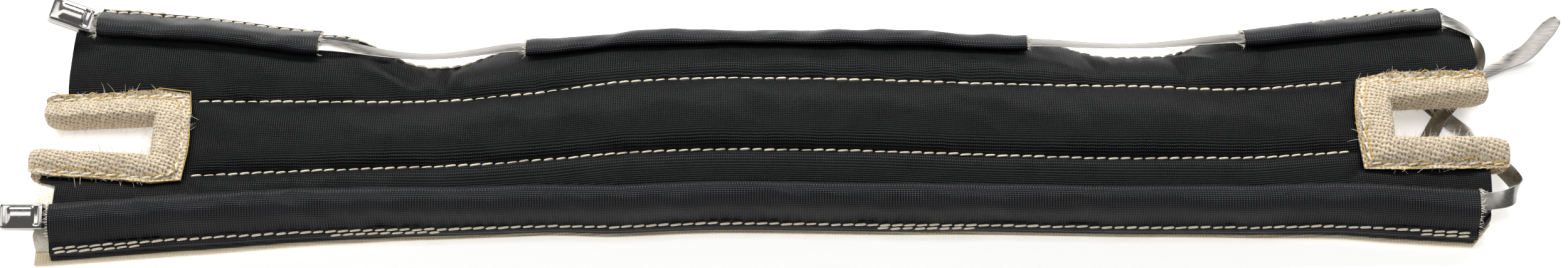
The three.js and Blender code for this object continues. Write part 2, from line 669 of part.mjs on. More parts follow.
function bindingSeam(side) {
  return thread(notchPath(side).slice(1, -1).map((place) => {
    const { x, v, intoX, intoV } = place;
    return { x: x + intoX * TAPE_SEAM, v: v + intoV * TAPE_SEAM, w: tapeTop(place, TAPE_SEAM), intoX, intoV };
  }));
}

// Steel band: a flat strip through a row of frames, each a point and the direction of its width
function band(frames) {
  const half = BAND_WIDTH / 2;
  const thick = BAND_THICKNESS / 2;
  const outline = [[-half, -thick], [half, -thick], [half, thick], [-half, thick]];
  const built = frames.map(({ point, across }, k) => {
    const before = frames[Math.max(k - 1, 0)].point;
    const after = frames[Math.min(k + 1, frames.length - 1)].point;
    const along = after.clone().sub(before).normalize();
    const up = along.clone().cross(across).normalize();
    return { point, across: up.clone().cross(along), up };
  });
  const taper = (k) => BAND_TIP_TAPER[frames.length - 1 - k] ?? 1;
  return sweep(frames.length, outline, [], (k, [a, h]) => {
    const { point, across, up } = built[k];
    return point.clone().addScaledVector(across, a * taper(k)).addScaledVector(up, h);
  });
}

// Band frame inside a casing at x
function casedFrame({ size, edgeOf, sign }, x) {
  const v = sign * (edgeOf(x) - size.strapAt);
  const [inner, outer] = [v - BAND_WIDTH / 2, v + BAND_WIDTH / 2].map((side) => (
    drape(x, side, facetedCoverTop(x, side) + STRAP_HEIGHT_IN_CASING)
  ));
  return { point: inner.clone().lerp(outer, 0.5), across: outer.sub(inner).normalize() };
}

// Band frame where it hangs bare across a scallop
function hangingFrame(cased, n, x) {
  const { bare, sagIn, sagDown, tilt } = SCALLOPS[n];
  const [from, to] = bare.map((at) => casedFrame(cased, at));
  const t = (x - bare[0]) / (bare[1] - bare[0]);
  const sag = (4 * t * (1 - t)) ** SAG_POWER;
  const lean = new THREE.Quaternion().setFromAxisAngle(new THREE.Vector3(1, 0, 0), -degToRad(tilt) * sag);
  return {
    point: from.point.lerp(to.point, t).sub(new THREE.Vector3(0, sagIn * sag, sagDown * sag)),
    across: from.across.lerp(to.across, t).applyQuaternion(lean).normalize(),
  };
}

function tieFrames(cased) {
  return between(cased.from, cased.to).map((x) => {
    const n = cased.sign > 0 ? scallopAt(x) : -1;
    return n < 0 ? casedFrame(cased, x) : hangingFrame(cased, n, x);
  });
}

// Smooth stretch of band through hand-set frames; the first one is where the stretch joins on
function smoothFrames(frames, steps) {
  const curve = new THREE.CatmullRomCurve3(frames.map(({ point }) => point), false, 'centripetal');
  return Array.from({ length: steps }, (_, k) => {
    const t = (k + 1) / steps;
    const place = t * (frames.length - 1);
    const i = Math.min(Math.floor(place), frames.length - 2);
    const across = frames[i].across.clone().lerp(frames[i + 1].across, place - i).normalize();
    return { point: curve.getPoint(t), across };
  });
}

// Free end of a band after its casing: how far on and sideways from the mouth, height above the table,
// and the direction of the band's width
function freeEnd(mouth, places, stepsPerPlace) {
  const frames = places.map(([dx, dy, z, ...across]) => ({
    point: new THREE.Vector3(mouth.point.x + dx, mouth.point.y + dy, z),
    across: new THREE.Vector3(...across).normalize(),
  }));
  return smoothFrames([mouth, ...frames], stepsPerPlace * places.length);
}

// The near tie leaves its casing, curls under, crosses the notch, turns once more and ends in a tip
const NEAR_FREE_END = [
  [4, 0.6, 9.4, 0, 0.97, 0.24],
  [7.5, 1.5, 9, 0.1, 0.93, 0.33],
  [10, 3.2, 8.3, 0.25, 0.88, 0.38],
  [11.5, 6.2, 6.8, 0.38, 0.83, 0.42],
  [10.7, 10.2, 4.8, 0.47, 0.81, 0.35],
  [8.2, 15.6, 2.5, 0.6, 0.77, 0.2],
  [2.9, 23.8, 0.6, 0.72, 0.69, 0],
  [-4.8, 31.7, 0.4, 0.72, 0.69, 0],
  [-9.2, 36.4, 0.6, 0.72, 0.69, -0.1],
  [-11.6, 38.5, 1.8, 0.19, 0.79, -0.58],
  [-9.3, 39.3, 2.6, -0.2, 0.95, -0.1],
  [-2.6, 40.9, 1.1, -0.3, 0.95, 0],
  [6.6, 44.6, 0.6, -0.37, 0.93, 0],
  [13.8, 47.8, 0.9, -0.3, 0.95, 0],
  [18.8, 49.4, 2.2, -0.45, 0.88, 0.1],
  [21.8, 51.6, 3.4, -0.65, 0.75, 0.1],
  [24.4, 54.4, 4.6, -0.7, 0.7, 0.1],
  [28.6, 58.6, 6, -0.7, 0.7, 0.1],
];

// The far tie curls down over the end, crosses the notch above the near tie and ends beneath the channel
const FAR_FREE_END = [
  [3.6, -1.8, 10.2, 0, 0.93, -0.36],
  [7, -3.8, 9.9, -0.08, 0.9, -0.4],
  [9.2, -5.4, 8.8, -0.2, 0.86, -0.42],
  [10.2, -7.9, 7.2, -0.37, 0.82, -0.41],
  [10, -10.7, 5.5, -0.5, 0.78, -0.32],
  [8.4, -13.6, 4, -0.62, 0.74, -0.25],
  [7, -16.8, 3, -0.69, 0.66, -0.3],
  [3.4, -20.8, 2.7, -0.65, 0.61, -0.42],
  [-1.6, -26.8, 2.4, -0.65, 0.61, -0.42],
  [-5, -32.5, 2, -0.7, 0.66, -0.3],
  [-9, -38.2, 1.2, -0.74, 0.67, -0.1],
  [-14.5, -46, 0.8, -0.74, 0.67, 0],
];

// Head of a tie: a folded steel box whose raised channel guides the locking ball onto the band
function headOutline(inset) {
  const side = HEAD_WIDTH / 2 - inset;
  const top = HEAD_HEIGHT / 2 - inset;
  const round = HEAD_CORNER - inset / 2;
  const channel = BALL_DIAMETER / 2 + HEAD_CHANNEL_CLEARANCE;
  const crest = channel - HEAD_CREST_INSET;
  return [
    [side, round - top], [side, top - round], [side - round, top], [channel, top], [crest, top],
    [-crest, top], [-channel, top], [round - side, top], [-side, top - round], [-side, round - top],
    [round - side, -top], [side - round, -top],
  ];
}

function headShell() {
  const outline = headOutline(0);
  const hole = headOutline(HEAD_WALL);
  const raised = (point) => [...outline.slice(4, 6), ...hole.slice(4, 6)].includes(point);
  return sweep(HEAD_SHAPE.length, outline, hole, (k, point) => {
    const { at, size, rise } = HEAD_SHAPE[k];
    const lift = raised(point) ? rise : 0;
    return new THREE.Vector3(at * HEAD_LENGTH, point[0] * lerp(1, size, HEAD_NARROWING), point[1] * size + lift);
  });
}

function ball() {
  const geometry = new THREE.SphereGeometry(BALL_DIAMETER / 2, 10, 7);
  geometry.deleteAttribute('normal');
  geometry.deleteAttribute('uv');
  return mergeVertices(geometry);
}

const BAND_IN_HEAD = HEAD_WALL + GAP + BAND_THICKNESS / 2 - HEAD_HEIGHT / 2;
const BALL_IN_HEAD = BAND_IN_HEAD + BAND_THICKNESS / 2 + BALL_CLEARANCE + BALL_DIAMETER / 2;

// Frame of a head beside the mouth of its casing: middle, direction into the casing and width direction
function headFrame(mouth, { offset, into, across }) {
  const x = new THREE.Vector3(...into).normalize();
  const z = x.clone().cross(new THREE.Vector3(...across)).normalize();
  const y = z.clone().cross(x);
  const middle = mouth.point.clone().add(new THREE.Vector3(...offset));
  return new THREE.Matrix4().makeBasis(x, y, z).setPosition(middle);
}

function bandStart(matrix, mouth) {
  const across = new THREE.Vector3().setFromMatrixColumn(matrix, 1);
  const places = BAND_SHARES_IN_HEAD.map((share) => ({
    point: new THREE.Vector3(share * HEAD_LENGTH, 0, BAND_IN_HEAD).applyMatrix4(matrix),
    across,
  }));
  return [places[0], ...smoothFrames([places[0], places[1], places[2], mouth], BAND_STEPS_FROM_HEAD).slice(0, -1)];
}

const NEAR_HEAD = { offset: [-6.7, -0.6, 1.1], into: [1, 0, 0], across: [0, 0.94, 0.34] };
const FAR_HEAD = { offset: [-6.6, 0.6, 3.9], into: [0.84, -0.14, -0.36], across: [0.25, 0.93, 0.1] };

// Materials
const blackCloth = new THREE.MeshStandardMaterial({ color: 0x1a1b1d, roughness: 0.55, metalness: 0 });
const casingCloth = new THREE.MeshStandardMaterial({ color: 0x17181c, roughness: 0.42, metalness: 0 });
const felt = new THREE.MeshStandardMaterial({ color: 0xe6dfce, roughness: 0.95, metalness: 0 });
const linerCloth = new THREE.MeshStandardMaterial({ color: 0xcbb899, roughness: 0.85, metalness: 0 });
const knitTape = new THREE.MeshStandardMaterial({ color: 0xb3a58f, roughness: 0.9, metalness: 0 });
const threadCord = new THREE.MeshStandardMaterial({ color: 0xd8cfba, roughness: 0.8, metalness: 0 });
const bandSteel = new THREE.MeshStandardMaterial({ color: 0xc9c7c3, roughness: 0.3, metalness: 1 });
const headSteel = new THREE.MeshStandardMaterial({ color: 0xd4d3d0, roughness: 0.12, metalness: 1 });

const shield = new THREE.Group();
function add(name, geometry, material, matrix = null) {
  const mesh = new THREE.Mesh(geometry, material);
  mesh.name = name;
  if (matrix) matrix.decompose(mesh.position, mesh.quaternion, mesh.scale);
  shield.add(mesh);
}

add('outer_cover', cover(), blackCloth);
add('insulation_core', core(), felt);
add('inner_liner', liner(), linerCloth);

add('near_casing', nearCasing(), casingCloth);
const [leftBare, rightBare] = SCALLOPS.map(({ bare }) => bare);
add('far_casing_left', farCasing(LEFT_END + FAR_CASING_LEFT_START, leftBare[0]), casingCloth);
add('far_casing_middle', farCasing(leftBare[1], rightBare[0]), casingCloth);
add('far_casing_right', farCasing(rightBare[1], RIGHT_END - FAR_CASING_RIGHT_END), casingCloth);

['left', 'right'].forEach((side) => {
  add(`${side}_notch_binding`, binding(side), knitTape);
  add(`${side}_binding_seam`, bindingSeam(side), threadCord);
});
add('near_quilting_seam', quiltingSeam(-1), threadCord);
add('far_quilting_seam', quiltingSeam(1), threadCord);
add('near_edge_seam', nearEdgeSeam(), threadCord);
add('far_edge_seam', farEdgeSeam(), threadCord);

const TIES = [
  {
    name: 'near_tie',
    cased: { size: NEAR_CASING, edgeOf: nearEdge, sign: -1, from: LEFT_END, to: RIGHT_END - NEAR_CASING_RIGHT_END },
    head: NEAR_HEAD,
    end: NEAR_FREE_END,
  },
  {
    name: 'far_tie',
    cased: {
      size: FAR_CASING,
      edgeOf: straightFarEdge,
      sign: 1,
      from: LEFT_END + FAR_CASING_LEFT_START,
      to: RIGHT_END - FAR_CASING_RIGHT_END,
    },
    head: FAR_HEAD,
    end: FAR_FREE_END,
  },
];
TIES.forEach(({ name, cased, head, end }) => {
  const frames = tieFrames(cased);
  const matrix = headFrame(frames[0], head);
  add(`${name}_band`, band([
    ...bandStart(matrix, frames[0]), ...frames, ...freeEnd(frames.at(-1), end, FREE_END_STEPS),
  ]), bandSteel);
  add(`${name}_head`, headShell(), headSteel, matrix);
  const ballPlace = matrix.clone().multiply(new THREE.Matrix4().makeTranslation(BALL_AT * HEAD_LENGTH, 0, BALL_IN_HEAD));
  add(`${name}_locking_ball`, ball(), headSteel, ballPlace);
});

// The origin is under the middle of the whole, on the table
const box = new THREE.Box3().setFromObject(shield);
const middle = box.getCenter(new THREE.Vector3());
shield.position.set(-middle.x, -middle.y, -box.min.z);

export default shield;
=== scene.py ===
"""Exhaust heat shield laid open on a table: its dressed pieces, finishes, lights and camera.

Shapes are worked out in millimetres on the flat pattern of the shield, x along it and v across it,
and draped over the same cross-sections as the solids, so each piece stays where its node is.
"""

from __future__ import annotations

import logging
import math
from dataclasses import dataclass, field
from enum import Enum, IntEnum
from functools import cache

import bpy
import numpy as np
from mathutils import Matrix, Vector

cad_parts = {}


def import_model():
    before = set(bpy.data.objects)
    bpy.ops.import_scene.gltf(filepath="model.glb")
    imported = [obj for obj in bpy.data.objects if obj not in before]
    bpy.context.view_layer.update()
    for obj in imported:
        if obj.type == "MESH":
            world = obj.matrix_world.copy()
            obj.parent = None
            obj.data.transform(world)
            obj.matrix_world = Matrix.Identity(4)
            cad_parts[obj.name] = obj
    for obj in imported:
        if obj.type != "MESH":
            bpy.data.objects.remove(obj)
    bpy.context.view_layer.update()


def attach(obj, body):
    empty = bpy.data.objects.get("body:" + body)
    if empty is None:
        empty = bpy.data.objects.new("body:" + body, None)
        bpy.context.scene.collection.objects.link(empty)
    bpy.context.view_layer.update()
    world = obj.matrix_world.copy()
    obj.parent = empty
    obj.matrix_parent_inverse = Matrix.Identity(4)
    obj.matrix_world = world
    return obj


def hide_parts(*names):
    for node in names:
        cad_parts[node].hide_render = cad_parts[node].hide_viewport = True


logging.basicConfig(level=logging.INFO, format="%(message)s")
LOG = logging.getLogger("shield")

Array = np.ndarray
Inputs = dict[str | int, object]

# Place of the flat pattern's origin in the shared frame, in millimetres
FRAME_SHIFT = np.array([-3.5774902, -3.4060478, 0.4687548])

LENGTH = 374.0
LEFT_END = -190.0
RIGHT_END = 184.0
LEFT_WEB = -165.0
RIGHT_WEB = 158.6
CHANNEL = 20.4
NEAR_PANEL = 20.0
FAR_PANEL = 25.0
BEND_HALF_WIDTH = 3.5
GAP = 0.3
LINER_THICKNESS = 1.0
CORE_BOTTOM = 1.3
CORE_PINCHED = 0.9
CORE_LOFT = 4.2
COVER_THICKNESS = 0.8
SEAM_DIP_REACH = 2.6
TAPE_LEG = 6.8
TAPE_WEB_LEG = 8.5
TAPE_SEAM = 5.6
TAPE_THICKNESS = 1.0
BAND_WIDTH = 4.6
BAND_THICKNESS = 0.3
STITCH_PITCH = 3.2
CASING_WIDTH = 10.6
SCALLOP_MARGIN = 1.4
NOTCH_FADE = 30.0
PAST_TIP = 1.3
BEYOND_EDGES = 80.0
TIE_LIFT = 1.75
ROW_PITCH = 1.0
LOOP_PITCH = 1.1
LOOP_SLANT = 0.3
SHARP_ANGLE = 50.0


class Side(Enum):
    """End of the shield."""

    LEFT = -1
    RIGHT = 1


class Edge(Enum):
    """Long edge of the shield, as the sign of its distance v."""

    NEAR = -1
    FAR = 1


class Row(IntEnum):
    """Pinned rows of the pattern, from the near edge to the far edge."""

    NEAR_EDGE = 0
    NEAR_SEAM = 1
    NEAR_CROWN = 2
    NEAR_FOLD = 3
    NEAR_TAPE = 4
    NEAR_QUILTING = 5
    NOTCH_NEAR = 6
    NOTCH_MIDDLE = 7
    NOTCH_FAR = 8
    FAR_QUILTING = 9
    FAR_TAPE = 10
    FAR_FOLD = 11
    FAR_CROWN = 12
    FAR_SEAM = 13
    FAR_EDGE = 14


@dataclass(frozen=True)
class Notch:
    """Notch in one end: its web, its tip and how far its two arms reach past the end."""

    web: float
    end: float
    web_centre: float
    web_half: float
    tip_centre: float
    tip_half: float
    lower_reach: float
    upper_reach: float


@dataclass(frozen=True)
class Scallop:
    """Scallop in the far edge and the bare stretch of the tie that hangs across it."""

    centre: float
    width: float
    depth: float
    ramp: float
    bare: tuple[float, float]
    sag_in: float
    sag_down: float
    tilt: float


NOTCHES = {
    Side.LEFT: Notch(LEFT_WEB, LEFT_END, 0, 6.7, 1.6, 5.4, 4.5, 2),
    Side.RIGHT: Notch(RIGHT_WEB, RIGHT_END, -2.3, 6.2, -3, 6.8, 2, -1.5),
}
SCALLOPS = (
    Scallop(-92.5, 54, 11, 0.46, (-124.4, -68.6), 1.3, 3.2, 18),
    Scallop(93.5, 54, 8.8, 0.38, (64.6, 122.7), 0.7, 1.6, 13),
)
# Cross-sections: share of the length, shift, channel, near and far factors, and three slopes in degrees
SECTIONS = np.array([
    [0.0, -1.6, 1.16, 1.04, 1.28, 0, -1, -5], [0.1, -0.4, 1.08, 0.98, 1.11, 0, -4, -8],
    [0.18, -0.8, 1.01, 0.89, 0.99, -3, -8, -12], [0.265, -1.2, 0.95, 0.86, 0.98, -5, -13, -16],
    [0.34, 0.3, 0.96, 0.9, 0.88, -3, -21, -23], [0.4, 2.4, 0.98, 1.01, 0.86, 0, -27, -28],
    [0.47, 3.4, 0.98, 1.01, 0.86, 0, -27, -28], [0.55, 3.0, 0.98, 1.01, 0.86, 0, -27, -28],
    [0.66, 1.6, 0.98, 0.95, 0.86, 0, -26, -28], [0.75, 1.0, 0.99, 0.94, 0.9, 0, -24, -26],
    [0.82, 1.0, 0.97, 0.95, 0.94, -3, -19, -21], [0.89, 3.2, 0.98, 1.03, 0.98, -1, -17, -18],
    [0.93, 4.6, 1.02, 1.12, 1.0, 0, -15, -16], [1.0, 6.3, 1.1, 1.24, 1.01, 0, -14, -15],
])
# Wrinkles in the cover: both ends on the pattern, height and half width, in millimetres
WRINKLES = (
    (-114, 21, -101, 13.5, 0.8, 1.8), (-108, 22, -97, 15, -0.5, 1.5), (-90, 19, -90.5, 11.5, -0.8, 1.3),
    (-86, 19, -88, 12, 0.6, 1.6), (81, 20, 83.5, 14, -0.6, 1.3), (85, 20, 86, 14, 0.5, 1.5),
    (103, 21, 107, 13, -0.7, 1.3), (104, 22, 118, 15.5, 0.6, 1.7), (124, 21, 126, 14, 0.6, 1.9),
    (-60, 16, -40, 20, 0.35, 2.5), (20, 15, 44, 19, 0.3, 2.6), (-150, 22, -128, 15, 0.35, 2.2),
)


def mix(a: Array | float, b: Array | float, t: Array | float) -> Array:
    """Returns a plus the share t of the way to b."""
    return a + (b - a) * t


def ease(x: Array, low: float | Array, high: float | Array) -> Array:
    """Returns 0 below low, 1 above high, and three t squared less two t cubed between them."""
    t = np.clip((x - low) / (high - low), 0, 1)
    return t * t * (3 - 2 * t)


def unit(a: Array) -> Array:
    """Returns vectors divided by their lengths."""
    return a / np.maximum(np.linalg.norm(a, axis=-1, keepdims=True), 1e-9)


def value_noise(x: Array, y: Array, seed: int) -> Array:
    """Random heights at whole-number places, blended between them by the ease curve.

    Args:
        x: First coordinate, one unit to a random value.
        y: Second coordinate.
        seed: Seed of the table of random values.

    Returns:
        Heights from -1 to 1.
    """
    table = np.random.default_rng(seed).uniform(-1, 1, (97, 89))
    xi, yi = np.floor(x).astype(int), np.floor(y).astype(int)
    fx, fy = ease(x - xi, 0, 1), ease(y - yi, 0, 1)
    low = mix(table[xi % 97, yi % 89], table[(xi + 1) % 97, yi % 89], fx)
    high = mix(table[xi % 97, (yi + 1) % 89], table[(xi + 1) % 97, (yi + 1) % 89], fx)
    return mix(low, high, fy)


def monotone(at: Array, value: Array, x: Array) -> Array:
    """Cubic through the knots whose tangents are the harmonic means of the slopes on both sides.

    Args:
        at: Places of the knots.
        value: Values at the knots.
        x: Places asked for.

    Returns:
        Values of the curve at x.
    """
    slope = np.diff(value) / np.diff(at)
    before, after = np.r_[slope[:1], slope], np.r_[slope, slope[-1:]]
    total = np.where(before + after == 0, 1, before + after)
    tangent = np.where(before * after <= 0, 0, 2 * before * after / total)
    x = np.clip(x, at[0], at[-1])
    i = np.clip(np.searchsorted(at, x, side="right") - 1, 0, len(at) - 2)
    span = at[i + 1] - at[i]
    t = (x - at[i]) / span
    curve = mix(value[i], value[i + 1], t * t * (3 - 2 * t))
    return curve + t * (1 - t) ** 2 * span * tangent[i] + t * t * (t - 1) * span * tangent[i + 1]


def run_length(path: Array) -> Array:
    """Returns the length along a path at each of its points."""
    return np.r_[0, np.linalg.norm(np.diff(path, axis=0), axis=1).cumsum()]


def read_off(at: Array, table: Array, where: Array) -> Array:
    """Rows of a table, read off in a straight line between its own rows.

    Args:
        at: Place of each row.
        table: Rows of two or three values.
        where: Places asked for.

    Returns:
        One row for each place.
    """
    return np.stack([np.interp(where, at, column) for column in table.T], -1)


def seam_dip(distance: Array, reach: Array | float = SEAM_DIP_REACH) -> Array:
    """Returns 1 on a seam, and the exponential of minus the distance over the reach beside it."""
    return np.exp(-np.abs(distance) / reach)


@dataclass
class Pattern:
    """Flat pattern of the shield and the way it drapes."""

    near_tail: float = 2.5
    far_tail: float = 2.0
    casing_width: float = CASING_WIDTH
    notch_pinch: float = 0.35
    notch_pinch_reach: float = 6.0
    pucker_height: float = 0.1
    pucker_away: float = 1.6
    pucker_width: float = 1.5
    gather_height: float = 0.5
    gather_reach: float = 5.0
    near_gather: float = 2.0
    far_gather: float = 1.5
    swell_height: float = 0.6
    ripple_height: float = 0.3
    wrinkle_gain: float = 1.4
    table: Array = field(init=False)
    slopes: Array = field(init=False)

    def __post_init__(self) -> None:
        """Finds, by repeated trials, the near slope that lets both edges lie at one height."""
        stations, trials, first_slope, step = 749, 14, 10.0, 0.9
        x = np.linspace(LEFT_END, RIGHT_END, stations)
        slope = np.full_like(x, first_slope)
        for _ in range(trials):
            v_k, a_k = self.knots(x, slope)
            rise = self.walk(v_k, a_k, self.straight_far(x))[1] - self.walk(v_k, a_k, -self.near_edge(x))[1]
            slope = slope - np.degrees(rise / (self.near_edge(x) - self.half(x))) * step
        self.table, self.slopes = x, slope

    def section(self, column: int, x: Array) -> Array:
        """Returns one column of the cross-sections at x."""
        return monotone(LEFT_END + LENGTH * SECTIONS[:, 0], SECTIONS[:, column], x)

    def half(self, x: Array) -> Array:
        """Returns half the width of the channel."""
        return CHANNEL / 2 * self.section(2, x)

    def near_edge(self, x: Array) -> Array:
        """Returns the distance from the middle to the near edge."""
        return self.half(x) + NEAR_PANEL * self.section(3, x)

    def straight_far(self, x: Array) -> Array:
        """Returns the distance from the middle to the far edge without its scallops."""
        return self.half(x) + FAR_PANEL * self.section(4, x)

    def scallop(self, x: Array) -> Array:
        """Returns the depth of the scallops: a flat bottom with an eased ramp on each side."""
        return sum(s.depth * ease(0.5 - np.abs(x - s.centre) / s.width, 0, s.ramp) for s in SCALLOPS)

    def far_edge(self, x: Array) -> Array:
        """Returns the distance from the middle to the far edge."""
        return self.straight_far(x) - self.scallop(x)

    def edge(self, which: Edge, x: Array) -> Array:
        """Returns the distance from the middle to a long edge without its scallops."""
        return self.near_edge(x) if which is Edge.NEAR else self.straight_far(x)

    def far_margin(self, x: Array) -> Array:
        """Returns how far the far seam lies in from the edge."""
        return mix(self.far_tail, SCALLOP_MARGIN, ease(self.scallop(x), 0.2, 1.2))

    def knots(self, x: Array, near_slope: Array) -> tuple[Array, Array]:
        """Places across the shield where the profile's slope is given, and the slopes there.

        Args:
            x: Places along the shield.
            near_slope: Slope of the near panel in degrees.

        Returns:
            Distances v and angles in radians, seven to a place.
        """
        half, reach = self.half(x), np.full_like(x, BEYOND_EDGES)
        start = self.straight_far(x) - self.far_tail - self.casing_width
        mid, far, edge = (self.section(k, x) for k in (5, 6, 7))
        b = BEND_HALF_WIDTH
        v = np.stack([-reach, -half - b, -half + b, half - b, half + b, start, reach], -1)
        return v, np.radians(np.stack([near_slope, near_slope, mid, mid, far, edge, edge], -1))

    @staticmethod
    def walk(v_k: Array, a_k: Array, v: Array) -> tuple[Array, Array, Array]:
        """Sum of the chords of the arcs between knots: length times sin(t/2)/(t/2) along the mean angle.

        Args:
            v_k: Places of the knots.
            a_k: Angles at the knots.
            v: Places asked for.

        Returns:
            Distance across, height and angle at v.
        """
        low, high = v_k[..., :-1], v_k[..., 1:]
        run = np.clip(v[..., None] - low, 0, high - low)
        turned = (a_k[..., 1:] - a_k[..., :-1]) / (high - low) * run
        chord = run * np.sinc(turned / 2 / np.pi)
        mean = a_k[..., :-1] + turned / 2
        return (chord * np.cos(mean)).sum(-1), (chord * np.sin(mean)).sum(-1), a_k[..., 0] + turned.sum(-1)

    def drape(self, x: Array, v: Array, w: Array) -> Array:
        """Point of the profile at v, moved w along its normal, with the near edge at height nought.

        Args:
            x: Places along the shield.
            v: Distances across the pattern.
            w: Heights above the underside.

        Returns:
            Points in millimetres in the pattern's own frame.
        """
        x, v, w = np.broadcast_arrays(np.asarray(x, float), np.asarray(v, float), np.asarray(w, float))
        held = np.clip(x, LEFT_END, RIGHT_END)
        v_k, a_k = self.knots(held, np.interp(held, self.table, self.slopes))
        y, z, angle = self.walk(v_k, a_k, v)
        y0 = self.walk(v_k, a_k, np.zeros_like(v))[0] - self.section(1, held)
        z0 = self.walk(v_k, a_k, -self.near_edge(held))[1]
        return np.stack([x, y - y0 - w * np.sin(angle), z - z0 + w * np.cos(angle)], -1)

    def share(self, x: Array) -> Array:
        """Returns 0 at the web and 1 at the end of the nearer notch."""
        left = (x - LEFT_WEB) / (LEFT_END - LEFT_WEB)
        return np.where(x < 0, left, (x - RIGHT_WEB) / (RIGHT_END - RIGHT_WEB))

    def notch_centre(self, x: Array) -> Array:
        """Middle of the nearer notch: straight from web to tip, faded out inside the web.

        Args:
            x: Places along the shield.

        Returns:
            Distances across.
        """
        s, n = self.share(x), NOTCHES
        web = np.where(x < 0, n[Side.LEFT].web_centre, n[Side.RIGHT].web_centre)
        tip = np.where(x < 0, n[Side.LEFT].tip_centre, n[Side.RIGHT].tip_centre)
        faded = web * np.clip(1 + s * (LEFT_WEB - LEFT_END) / NOTCH_FADE, 0, 1)
        return np.where(s >= 0, mix(web, tip, np.minimum(s, PAST_TIP)), faded)

    def notch_half(self, x: Array) -> Array:
        """Half the opening of the nearer notch: straight from web to tip.

        Args:
            x: Places along the shield.

        Returns:
            Half widths.
        """
        n = NOTCHES
        web = np.where(x < 0, n[Side.LEFT].web_half, n[Side.RIGHT].web_half)
        tip = np.where(x < 0, n[Side.LEFT].tip_half, n[Side.RIGHT].tip_half)
        return mix(web, tip, np.clip(self.share(x), 0, PAST_TIP))

    def notch_distance(self, x: Array, v: Array) -> Array:
        """Returns the distance into the cloth from the notch's cut edge, with square corners."""
        beyond = np.where(x < 0, x - LEFT_WEB, RIGHT_WEB - x) * TAPE_LEG / TAPE_WEB_LEG
        return np.maximum(beyond, np.abs(v - self.notch_centre(x)) - self.notch_half(x))

    def loft(self, x: Array, v: Array) -> Array:
        """Height of the felt between its seams: the product of one less the dip of each seam.

        Args:
            x: Places along the shield.
            v: Distances across the pattern.

        Returns:
            0 where the felt is sewn flat and 1 where it is full.
        """
        half = self.half(x)
        quilted = ease(self.notch_distance(x, 0 * x), TAPE_LEG - 4, TAPE_LEG + 2)
        channel = quilted * np.maximum(seam_dip(v - half), seam_dip(v + half))
        reach = SEAM_DIP_REACH + np.clip(self.scallop(x) / 4, 0, 1) * 4
        from_notch = self.notch_distance(x, v)
        pinch = self.notch_pinch * np.exp(-np.maximum(from_notch, 0) / self.notch_pinch_reach)
        near = seam_dip(v + self.near_edge(x) - self.near_tail)
        far = seam_dip(v - self.far_edge(x) + self.far_margin(x), reach)
        tape = seam_dip(from_notch - TAPE_SEAM)
        return (1 - channel) * (1 - near) * (1 - far) * (1 - tape) * (1 - pinch)

    def relief(self, x: Array, v: Array) -> Array:
        """Puckers of one stitch's pitch beside the seams, gathers, broad swells and wrinkles.

        Args:
            x: Places along the shield.
            v: Distances across the pattern.

        Returns:
            Heights to add to the cover and the felt.
        """
        half = self.half(x)
        near, far = v + self.near_edge(x) - self.near_gather, v - self.far_edge(x) + self.far_gather
        height = np.zeros(np.broadcast(x, v).shape)
        for k, d in enumerate((v - half, v + half, near, far)):
            beside = np.exp(-((np.abs(d) - self.pucker_away) / self.pucker_width) ** 2)
            wave = np.cos(2 * np.pi * x / STITCH_PITCH + 2 * value_noise(x / 9, v * 0 + k, 5 + k))
            gathers = value_noise(x / 5 + 0.12 * v, v / 14, 20 + k)
            falling = np.exp(-np.abs(d) / self.gather_reach) * (np.abs(d) > 0.2)
            height = height + self.pucker_height * beside * wave + self.gather_height * gathers * falling
        loft = self.loft(x, v)
        height = height + self.swell_height * value_noise(x / 26 + 3, v / 13 + 7, 40) * loft
        height = height + self.ripple_height * value_noise(x / 8 + v / 11, v / 7 - x / 30, 41) * loft
        for x0, v0, x1, v1, rise, width in WRINKLES:
            run, fall = x1 - x0, v1 - v0
            t = np.clip(((x - x0) * run + (v - v0) * fall) / (run * run + fall * fall), 0, 1)
            away = np.hypot(x - x0 - t * run, v - v0 - t * fall)
            fold = rise * np.exp(-((away / width) ** 2)) * np.sin(np.pi * mix(0.12, 0.88, t))
            height = height + self.wrinkle_gain * fold
        ends = ease(np.minimum(x - LEFT_END, RIGHT_END - x), 0, 8)
        return height * mix(0.4, 1, ends) * ease(self.notch_distance(x, v), 4, 9)

    def core_top(self, x: Array, v: Array) -> Array:
        """Returns the height of the felt's upper face."""
        return CORE_BOTTOM + mix(CORE_PINCHED, CORE_LOFT, self.loft(x, v)) + self.relief(x, v)

    def cover_bottom(self, x: Array, v: Array) -> Array:
        """Height of the cover's lower face, closed onto the liner past the edge seams.

        Args:
            x: Places along the shield.
            v: Distances across the pattern.

        Returns:
            Heights above the underside.
        """
        near, far = (self.near_edge(x) + v) / self.near_tail, (self.far_edge(x) - v) / self.far_margin(x)
        share = np.clip(np.where(v < 0, near, far), 0, 1)
        return CORE_BOTTOM + share * (self.core_top(x, v) + GAP - CORE_BOTTOM)

    def cover_top(self, x: Array, v: Array) -> Array:
        """Returns the height of the cover's upper face."""
        return self.cover_bottom(x, v) + COVER_THICKNESS

    def rows(self, x: Array) -> Array:
        """Pinned rows of the pattern, in the order of Row.

        Args:
            x: Places along the shield.

        Returns:
            Distances across, one for each place and pinned row.
        """
        near, far, half = self.near_edge(x), self.far_edge(x), self.half(x)
        far_seam = far - self.far_margin(x)
        fold = np.maximum(far_seam - self.casing_width, half + 2.4)
        centre, opening = self.notch_centre(x), self.notch_half(x)
        near_seam = near - self.near_tail
        near_fold = near_seam - self.casing_width
        return np.stack([
            -near, -near_seam, -mix(near_seam, near_fold, 0.45), -near_fold,
            np.minimum(centre - opening - TAPE_SEAM, -half - 1.2), -half, centre - opening, centre,
            centre + opening, half, np.maximum(centre + opening + TAPE_SEAM, half + 1.2), fold,
            mix(far_seam, fold, 0.45), far_seam, far,
        ], -1)


